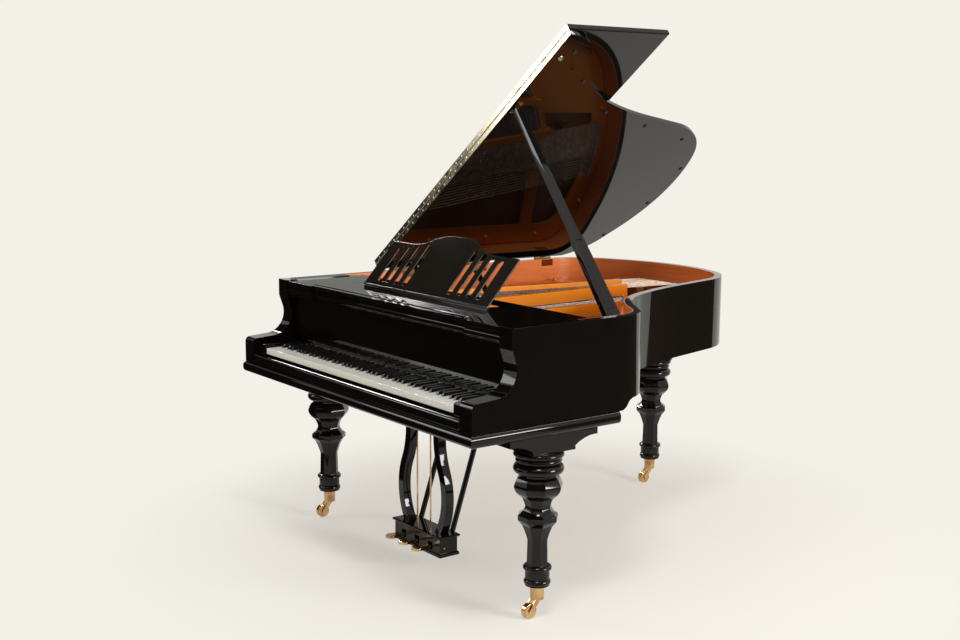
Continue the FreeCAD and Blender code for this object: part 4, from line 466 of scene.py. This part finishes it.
# Hitch pins at the back ends of the wires and brass agraffes in front of the web's edge: drilled studs
# that hold the wires down. Both are driven or screwed into the plate.
plate_top = pin_low.z
hitch = turned_mesh("hitch", [(0.0016, 0), (0.0016, 0.013), (0.0020, 0.0145), (0.0012, 0.0155)], 8)
hitch_behind, hitch_below = 0.0012, 0.0095
hitch_points = []
for runs, unisons in ((wound_runs, bass_unison), (plain_runs, trichord)):
    for index, (front, back) in enumerate(runs):
        y, z = back.y + hitch_behind, back.z - hitch_below
        hitch_points += [(back.x + shift, y, z) for shift in unisons(index)]
set_pieces("hitch_pin_set", hitch, hitch_points, blued, "case")
brass = metal("polished_brass", (0.70, 0.46, 0.22, 1), (0.38, 0.23, 0.10, 1), 26, 0.08, 0.24)
agraffe = turned_mesh("agraffe", [(0.0030, 0), (0.0030, 0.004), (0.0052, 0.0045), (0.0052, 0.008),
                                  (0.0042, 0.0085), (0.0042, 0.018), (0.0030, 0.0195)], 8)
agraffe_line = -0.478
agraffe_points = []
for front, back in wound_runs + plain_runs:
    share = (agraffe_line - front.y) / (back.y - front.y)
    agraffe_points.append((front.x + (back.x - front.x) * share, agraffe_line, plate_top))
set_pieces("agraffe_set", agraffe, agraffe_points, brass, "case")

# Felt under the wires: red cloth in front of the agraffes and blue cloth before the hitch pins, which
# keeps the idle ends of the wires from ringing. Both are glued to the plate.


def cloth(name, colour):
    """Felted cloth with a fine nap."""
    material, tree, shader = new_finish(name)
    place = add(tree, "ShaderNodeTexCoord").outputs["Object"]
    fuzz = add(tree, "ShaderNodeTexNoise", {"Vector": place, "Scale": 700.0, "Detail": 4.0}).outputs["Fac"]
    worn = [channel * 0.55 for channel in colour] + [1]
    tone = add(tree, "ShaderNodeMix", {0: fuzz, 6: worn, 7: list(colour) + [1]}, data_type="RGBA")
    tree.links.new(tone.outputs[2], shader.inputs["Base Color"])
    tree.links.new(spread(tree, fuzz, 0.85, 1.0), shader.inputs["Roughness"])
    bump(tree, shader, fuzz, 0.5, 0.0006)
    return material


def recalculate(piece):
    """Turn the faces of a closed mesh outwards."""
    mesh = bmesh.new()
    mesh.from_mesh(piece.data)
    bmesh.ops.recalc_face_normals(mesh, faces=mesh.faces)
    mesh.to_mesh(piece.data)
    mesh.free()


def strip(name, middles, wide, foot, top, material, body):
    """Band along a line of points on a level seat, with rounded long edges."""
    section = [(-0.5, 0), (-0.5, 0.7), (-0.42, 0.92), (-0.25, 1), (0.25, 1), (0.42, 0.92), (0.5, 0.7),
               (0.5, 0)]
    verts, faces = [], []
    for index, middle in enumerate(middles):
        along = middles[min(index + 1, len(middles) - 1)] - middles[max(index - 1, 0)]
        aside = Vector((-along.y, along.x, 0)).normalized()
        for across, rise in section:
            edge = middle + aside * across * wide
            verts.append((edge.x, edge.y, foot + (top - foot) * rise))
    count = len(section)
    for index in range(len(middles) - 1):
        for corner in range(count):
            after = (corner + 1) % count
            faces.append((index * count + corner, index * count + after, (index + 1) * count + after,
                          (index + 1) * count + corner))
    faces.append(tuple(range(count))[::-1])
    faces.append(tuple(range((len(middles) - 1) * count, len(middles) * count)))
    piece = new_piece(name, verts, (), faces)
    recalculate(piece)
    piece.data.materials.append(material)
    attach(piece, body)
    return piece


red_cloth, blue_cloth = cloth("red_cloth", (0.30, 0.028, 0.022)), cloth("blue_cloth", (0.020, 0.055, 0.26))
tenor = len(plain_runs) - len(plain_runs) // 3
web_line, hitch_gap = -0.500, 0.022
for name, runs, wire in (("bass", wound_runs, 0.0018), ("tenor", plain_runs[:tenor], 0.0008),
                         ("treble", plain_runs[tenor:], 0.0008)):
    cloth_top = runs[0][0].z - wire
    hitch_line = [back - (back - front).normalized() * hitch_gap for front, back in runs]
    strip("hitch_cloth_" + name, hitch_line, 0.014, plate_top, cloth_top, blue_cloth, "case")
    front_line = [front.lerp(back, (web_line - front.y) / (back.y - front.y)) for front, back in runs]
    strip("web_cloth_" + name, front_line, 0.018, plate_top, cloth_top, red_cloth, "case")

# Plate bolts: domed caps with washers on the bolts that hold the plate's flange down along the rim.
# They are sprayed together with the plate.
bolt = turned_mesh("bolt", [(0.013, 0), (0.013, 0.0016), (0.0098, 0.002), (0.0095, 0.007), (0.0082, 0.0102),
                            (0.0055, 0.0125), (0.0015, 0.0135)], 16)
bolt_points = [(-0.672, y, plate_top) for y in (-0.30, 0.0, 0.30, 0.58)]
bolt_points += [(-0.52, 0.803, plate_top), (-0.30, 0.846, plate_top), (-0.08, 0.822, plate_top)]
bolt_points += [(0.10, 0.60, plate_top), (0.235, 0.33, plate_top), (0.33, 0.08, plate_top)]
set_pieces("plate_bolt_set", bolt, bolt_points, bronze, "case", smooth=True)

# Dampers: black wooden blocks on wires from the lift rail, with white felt glued under them.
# The felt lies at two heights, one for each layer of strings.
damper, tree, shader = new_finish("damper_block")
height = add(tree, "ShaderNodeSeparateXYZ")
tree.links.new(add(tree, "ShaderNodeTexCoord").outputs["Object"], height.inputs[0])
felt_half = 0.0025
felts = []
for low in (0.8840, 0.8952):
    felt = add(tree, "ShaderNodeMath", {0: height.outputs["Z"], 1: low + felt_half, 2: felt_half},
               operation="COMPARE")
    felts.append(felt.outputs[0])
felted = add(tree, "ShaderNodeMath", {0: felts[0], 1: felts[1]}, operation="MAXIMUM").outputs[0]
fuzz = add(tree, "ShaderNodeTexNoise", {"Scale": 900.0, "Detail": 3.0})
tree.links.new(tree.nodes["Texture Coordinate"].outputs["Object"], fuzz.inputs["Vector"])
tone = add(tree, "ShaderNodeMix", {0: felted, 6: (0.012, 0.012, 0.013, 1), 7: (0.72, 0.69, 0.62, 1)},
           data_type="RGBA")
tree.links.new(tone.outputs[2], shader.inputs["Base Color"])
tree.links.new(spread(tree, felted, 0.25, 0.95), shader.inputs["Roughness"])
bump(tree, shader, fuzz.outputs["Fac"], 0.15, 0.0004)
dress(damper, "dampers")

# Keys: spruce levers with ivory-white acrylic tops, and sharps of stained hardwood, all with eased edges.
# Behind them stand the maple hammers on their metal action frame.
ivory, tree, shader = new_finish("ivory_white")
place = add(tree, "ShaderNodeTexCoord").outputs["Object"]
vein = add(tree, "ShaderNodeTexNoise", {"Vector": place, "Scale": 30.0, "Detail": 3.0}).outputs["Fac"]
tone = add(tree, "ShaderNodeMix", {0: vein, 6: (0.88, 0.87, 0.77, 1), 7: (0.93, 0.92, 0.84, 1)},
           data_type="RGBA")
tree.links.new(tone.outputs[2], shader.inputs["Base Color"])
coat = use_group(tree, film, Smooth=0.08, Hazy=0.2, Ripple=30.0)
tree.links.new(coat.outputs["Roughness"], shader.inputs["Roughness"])
bump(tree, shader, coat.outputs["Height"], 0.02, 0.001)
dress(ivory, "white_keys")
soften(0.0009, "white_keys")
ebony = coated("ebony_black", (0.010, 0.009, 0.009), 0.16, 0.3, 0.5)
dress(ebony, "black_keys")
soften(0.0011, "black_keys")
dress(maple, "white_key_hammers", "black_key_hammers")
dress(music_wire, "action_frame")

# Keybed of pine in a dark stain, and the black lacquered pieces round the keys: a moulding along the
# keybed's front, the key slip with its rounded edge, and a cheek block at each end. The key frame is
# given the same dark wood as painted shade, so that the gap between key slip and key fronts reads dark.
bed_wood_and_gap_shade = wooden("keybed_wood", (0.060, 0.040, 0.028, 1), (0.030, 0.020, 0.014, 1), (5, 70, 70))
dress(bed_wood_and_gap_shade, "keybed", "key_frame")
dress(lacquer, "keybed_moulding", "key_slip", "cheek_blocks")
soften(0.004, "cheek_blocks", segments=3)
soften(0.009, "key_slip", segments=4)

# Fallboard: a lacquered board that folds down over the keys. It turns on two steel pins, which sit in
# the arms of the case.
dress(lacquer, "fallboard")
soften(0.002, "fallboard")
dress(music_wire, "fallboard_pins")

# Music shelf, side boards and desk: lacquered boards over the pin block. The shelf slides and carries the
# desk, which leans on two stays and is rubbed to a satin sheen so that it doesn't dazzle.
satin = coated("satin_lacquer", (0.014, 0.011, 0.008), 0.10, 0.18, 0.3)
dress(lacquer, "music_shelf", "shelf_side_boards")
dress(satin, "music_desk")
shelf_low, shelf_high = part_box("music_shelf")
bead = [Vector((x, shelf_low.y + 0.0085, 0)) for x in (shelf_low.x + 0.004, shelf_high.x - 0.004)]
strip("shelf_bead", bead, 0.013, shelf_high.z, shelf_high.z + 0.0035, lacquer, "music_shelf")
soften(0.004, "music_shelf", "shelf_side_boards", segments=3)
soften(0.0015, "music_desk")
dress(lacquer, "desk_stays")

# Lid and front flap: flat boards lacquered on both faces and joined by a long brass hinge. Three brass
# butt hinges hold the lid to the spine side of the rim.
dress(lacquer, "lid_main", "lid_flap")
soften(0.003, "lid_main", "lid_flap", segments=3)
worn_brass = metal("worn_brass", (0.66, 0.60, 0.44, 1), (0.38, 0.33, 0.20, 1), 34, 0.10, 0.26)
dress(worn_brass, "flap_hinge_lid_leaf", "flap_hinge_flap_leaf")
dress(brass, "lid_hinge_case_leaves", "lid_hinge_lid_leaves")
spine = Vector((-0.745, 0, 0.967))
lid_open = math.radians(36.6)
lifted = Matrix.Rotation(-lid_open, 4, "Y")


def on_lid(x, y, z):
    """Place on the raised lid of a point given with the lid closed."""
    return lifted @ (Vector((x, y, z)) - spine) + spine


# Long hinge: its leaves are screwed to the front edges of lid and flap with countersunk steel screws,
# and its knuckles interlock on one pin.
hinge_left, hinge_front, hinge_seam = -0.738, -0.3045, 0.9903
screw_pitch, knuckle_pitch = 0.0445, 0.0124
screw_steel = metal("screw_steel", (0.95, 0.93, 0.86, 1), (0.80, 0.78, 0.70, 1), 60, 0.45, 0.60)
for name, body, start, height, count in (("lid_hinge_screws", "lid", 0.02, 0.9805, 33),
                                         ("flap_hinge_screws", "lid_flap", 0.042, 1.0002, 32)):
    screw = turned_mesh("screw", [(0.0034, 0), (0.0034, 0.00004), (0.0027, 0.0001), (0.0011, 0.00012)], 10)
    spots = [on_lid(hinge_left + start + screw_pitch * step, hinge_front, height) for step in range(count)]
    set_pieces(name, screw, spots, screw_steel, body, (math.pi / 2, 0, 0))
along_lid = (0, math.pi / 2 - lid_open, 0)
for order, body in enumerate(("lid", "lid_flap")):
    knuckle = turned_mesh("knuckle", [(0.0012, 0), (0.0019, 0.0004), (0.0019, 0.0116), (0.0012, 0.0120)], 10)
    spots = [on_lid(hinge_left + knuckle_pitch * step, hinge_front - 0.0004, hinge_seam)
             for step in range(order, 119, 2)]
    set_pieces("flap_knuckles_" + body, knuckle, spots, worn_brass, body, along_lid, True)

# Rubber buttons, each held by a screw, keep the lid off the rim when it is shut. Near its front edge a
# brass socket takes the half prop, which holds the lid at a low opening.
rubber = coated("black_rubber", (0.012, 0.012, 0.012), 0.5, 0.7, 0.4)
button = turned_mesh("button", [(0.0085, 0), (0.0085, 0.002), (0.0070, 0.0034), (0.0040, 0.0038),
                                (0.0034, 0.0026)], 16)
case_front, lid_foot = -0.907, 0.969
button_places = [(0.662, 0.677), (0.507, 0.827), (0.333, 1.061), (0.247, 1.329), (0.156, 1.606),
                 (-0.057, 1.775), (-0.322, 1.792), (-0.579, 1.723)]
spots = [on_lid(x, y + case_front, lid_foot) for x, y in button_places]
face_down = (lifted @ Matrix.Rotation(math.pi, 4, "X")).to_euler()
set_pieces("lid_buttons", button, spots, rubber, "lid", tuple(face_down), True)
socket = turned_mesh("socket", [(0.011, 0), (0.011, 0.0016), (0.0090, 0.0024), (0.0080, 0.0060),
                                (0.0062, 0.0060), (0.0055, 0.0030), (0.0012, 0.0026)], 20)
set_pieces("low_prop_socket", socket, [on_lid(0.628, -0.268, lid_foot)], worn_brass, "lid",
           tuple(face_down), True)

# Inner leaves of the spine hinges: thin brass plates with eased edges, let into the veneer just under
# the rim's top edge, one behind each butt hinge.
upright = Matrix.Rotation(math.pi / 2, 4, "Y") @ Matrix.Rotation(math.pi / 2, 4, "Z")
squared = Matrix.Diagonal((1.5, 0.67, 1, 1)) @ Matrix.Rotation(math.pi / 4, 4, "Z")
veneer_face, first_leaf, leaf_pitch, leaf_height = -0.711, -0.172, 0.370, 0.9485
for index in range(3):
    leaf = turned_mesh("spine_leaf_%d" % index, [(0.030, 0), (0.030, 0.0008), (0.0292, 0.0011)], 4)
    spot = Matrix.Translation((veneer_face, first_leaf + leaf_pitch * index, leaf_height))
    leaf.data.transform(spot @ upright @ squared)
    leaf.data.materials.append(brass)
    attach(leaf, "case")

# Lid prop: a lacquered bar with the short half prop folded into it. It turns on a brass bracket inside
# the rim and bears on a brass plate under the lid.
dress(lacquer, "lid_prop", "half_prop")
soften(0.0015, "lid_prop", "half_prop")
dress(brass, "prop_bracket", "prop_cup")

# Legs: turned and faceted beech under the black lacquer. Each is set up into a leg block, which is fixed
# under the case.
dress(lacquer, "leg_blocks", "leg_bass", "leg_treble", "leg_tail")
soften(0.0015, "leg_blocks", "leg_bass", "leg_treble", "leg_tail")

# Casters of polished brass: a ferrule on the foot of each leg, a fork that swivels in it and a turned
# wheel in the fork.
dress(brass, "caster_ferrules", *[part + leg for part in ("caster_fork_", "caster_wheel_")
                                  for leg in ("bass", "treble", "tail")])

# Pedal lyre: bowed lacquered posts under the keybed that carry the pedal box, with two braces behind.
# The box has a cap and a base moulding; the pedals, their rods and their pivot are polished brass.
dress(lacquer, "lyre_posts", "lyre_head", "pedal_box")
soften(0.0015, "lyre_posts", "lyre_head", "pedal_box")
box_low, box_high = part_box("pedal_box")


def box_moulding(name, foot, top, out, ease):
    """Flat moulding round the pedal box that stands out by a little, with eased edges."""
    verts, faces = [], []
    for inset, z in ((ease, foot), (0, foot + ease), (0, top - ease), (ease, top)):
        x, low, high = box_high.x + out - inset, box_low.y - out + inset, box_high.y + out - inset
        verts += [(-x, low, z), (x, low, z), (x, high, z), (-x, high, z)]
    for level in (0, 4, 8):
        for side in range(4):
            after = (side + 1) % 4
            faces.append((level + side, level + after, level + 4 + after, level + 4 + side))
    piece = new_piece(name, verts, (), faces + [(3, 2, 1, 0), (12, 13, 14, 15)])
    piece.data.materials.append(lacquer)
    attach(piece, "case")


box_moulding("pedal_box_cap", box_high.z - 0.004, box_high.z + 0.006, 0.007, 0.003)
box_moulding("pedal_box_base", box_low.z, box_low.z + 0.014, 0.005, 0.003)
dress(brass, "pedal_pivot_rod", *[part + side for part in ("pedal_", "pedal_rod_")
                                  for side in ("left", "middle", "right")])
dress(lacquer, "lyre_braces")

# Studio: a pale seamless floor that keeps the shadow near the legs, soft lamps, and cards out of the
# picture. The cards glow in their own colour and show only in the gloss, as painted surroundings for
# the lacquer to mirror.
paper_tone = (0.896, 0.871, 0.807, 1)
world = bpy.data.worlds.new("studio")
bpy.context.scene.world = world
world.use_nodes = True
tree = world.node_tree
back = tree.nodes["Background"]
path = add(tree, "ShaderNodeLightPath")
seen = add(tree, "ShaderNodeMath", {0: path.outputs["Is Camera Ray"], 1: path.outputs["Is Glossy Ray"]},
           operation="MAXIMUM")
seen = add(tree, "ShaderNodeMath", {0: seen.outputs[0], 1: path.outputs["Is Transmission Ray"]},
           operation="MAXIMUM")
back.inputs["Color"].default_value = paper_tone
tree.links.new(spread(tree, seen.outputs[0], 0.6, 1.0), back.inputs["Strength"])
bpy.ops.mesh.primitive_circle_add(vertices=64, radius=60, fill_type="NGON", location=(0, 0, 0))
floor = bpy.context.object
floor.name = "floor"
paper, tree, shader = new_finish("paper_floor")
shader.inputs["Base Color"].default_value = paper_tone
shader.inputs["Roughness"].default_value = 0.9
shader.inputs["Specular IOR Level"].default_value = 0.1
away = add(tree, "ShaderNodeVectorMath", operation="LENGTH")
tree.links.new(add(tree, "ShaderNodeTexCoord").outputs["Object"], away.inputs[0])
fade = add(tree, "ShaderNodeMapRange", {0: away.outputs["Value"], 1: 0.8, 2: 1.9, 3: 0.45},
           interpolation_type="SMOOTHSTEP")
path = add(tree, "ShaderNodeLightPath")
seen = add(tree, "ShaderNodeMath", {0: path.outputs["Is Camera Ray"], 1: path.outputs["Is Glossy Ray"]},
           operation="MAXIMUM")
share = add(tree, "ShaderNodeMath", {0: fade.outputs[0], 1: seen.outputs[0]}, operation="MULTIPLY")
glow = add(tree, "ShaderNodeEmission", {"Color": paper_tone, "Strength": 1.0})
blend = add(tree, "ShaderNodeMixShader", {0: share.outputs[0], 1: shader.outputs[0], 2: glow.outputs[0]})
tree.links.new(blend.outputs[0], tree.nodes["Material Output"].inputs["Surface"])
floor.data.materials.append(paper)
floor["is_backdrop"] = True


def softbox(name, place, aim, width, tall, power, only_mirrored=False):
    """Soft lamp turned towards a point and out of the picture; some show only in the gloss."""
    lamp = bpy.data.objects.new(name, bpy.data.lights.new(name, "AREA"))
    lamp.data.shape = "RECTANGLE"
    lamp.data.size, lamp.data.size_y = width, tall
    lamp.data.energy = power
    lamp.location = place
    lamp.rotation_euler = (Vector(place) - Vector(aim)).to_track_quat("Z", "Y").to_euler()
    lamp.visible_camera = False
    lamp.visible_diffuse = not only_mirrored
    bpy.context.scene.collection.objects.link(lamp)


softbox("overhead", (1.9, -1.6, 4.5), (0, 0, 0.8), 0.9, 0.9, 68)
softbox("front_left", (-3.8, -3.75, 2.5), (0, 0, 0.8), 0.8, 2.4, 30)
softbox("treble_side", (4.6, 1.6, 1.6), (-0.4, 0.3, 0.9), 1.6, 1.2, 165)
softbox("bass_side", (-4.8, 0.65, 3.55), (0, -0.8, 0.7), 1.2, 1.2, 210, True)
softbox("tail_strip", (0.7, 2.5, 4.2), (0.7, 2.5, 0), 0.35, 2.2, 24, True)


def card_glow(name, colour):
    """Glowing colour of a card, the same from every side. It is no lamp and shows only as a painted
    reflection.
    """
    material, tree, shader = new_finish(name)
    shader.inputs["Base Color"].default_value = (0.01, 0.01, 0.01, 1)
    shader.inputs["Specular IOR Level"].default_value = 0.0
    shader.inputs["Emission Color"].default_value = colour
    shader.inputs["Emission Strength"].default_value = 1.0
    return material


def mirrored_card(name, start, stop, near, far, low, high, finish):
    """Card round the piano between two bearings, from a near and low edge to a far and high one."""
    verts, faces = [], []
    steps = 12
    for step in range(steps + 1):
        bearing = math.radians(start + (stop - start) * step / steps)
        for reach, height in ((near, low), (far, high)):
            verts.append((reach * math.cos(bearing), reach * math.sin(bearing), height))
    for step in range(steps):
        faces.append((2 * step, 2 * step + 1, 2 * step + 3, 2 * step + 2))
    card = new_piece(name, verts, (), faces)
    card.data.materials.append(finish)
    card.visible_camera = False
    card.visible_diffuse = False
    card.visible_shadow = False
    card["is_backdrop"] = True


# Each card glows in its colour and shows only in reflections: painted dark, brown and grey surroundings for
# the lacquer and metal to mirror.
black_card = card_glow("black_card", (0.012, 0.010, 0.009, 1))
brown_card = card_glow("brown_card", (0.075, 0.054, 0.036, 1))
grey_card = card_glow("grey_card", (0.34, 0.34, 0.31, 1))
mirrored_card("shelf_card", 146, 158, 9, 9, 0.0, 4.2, grey_card)
mirrored_card("treble_floor_card", 0, 84, 2.9, 16, 0.01, 0.01, brown_card)
mirrored_card("front_floor_card", 190, 270, 1.4, 4, 0.01, 0.01, black_card)
mirrored_card("camera_floor_card", 275, 358, 3.2, 7, 0.01, 0.01, brown_card)
mirrored_card("camera_card", 275, 358, 7, 7, 0.0, 4.0, brown_card)
mirrored_card("hinge_card", 190, 219, 4, 4, 0.0, 1.7, black_card)
mirrored_card("front_card", 219, 262, 4, 4, 0.0, 0.5, black_card)
mirrored_card("desk_card", 176, 214, 7, 4, 3.4, 7.0, black_card)

low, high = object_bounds()
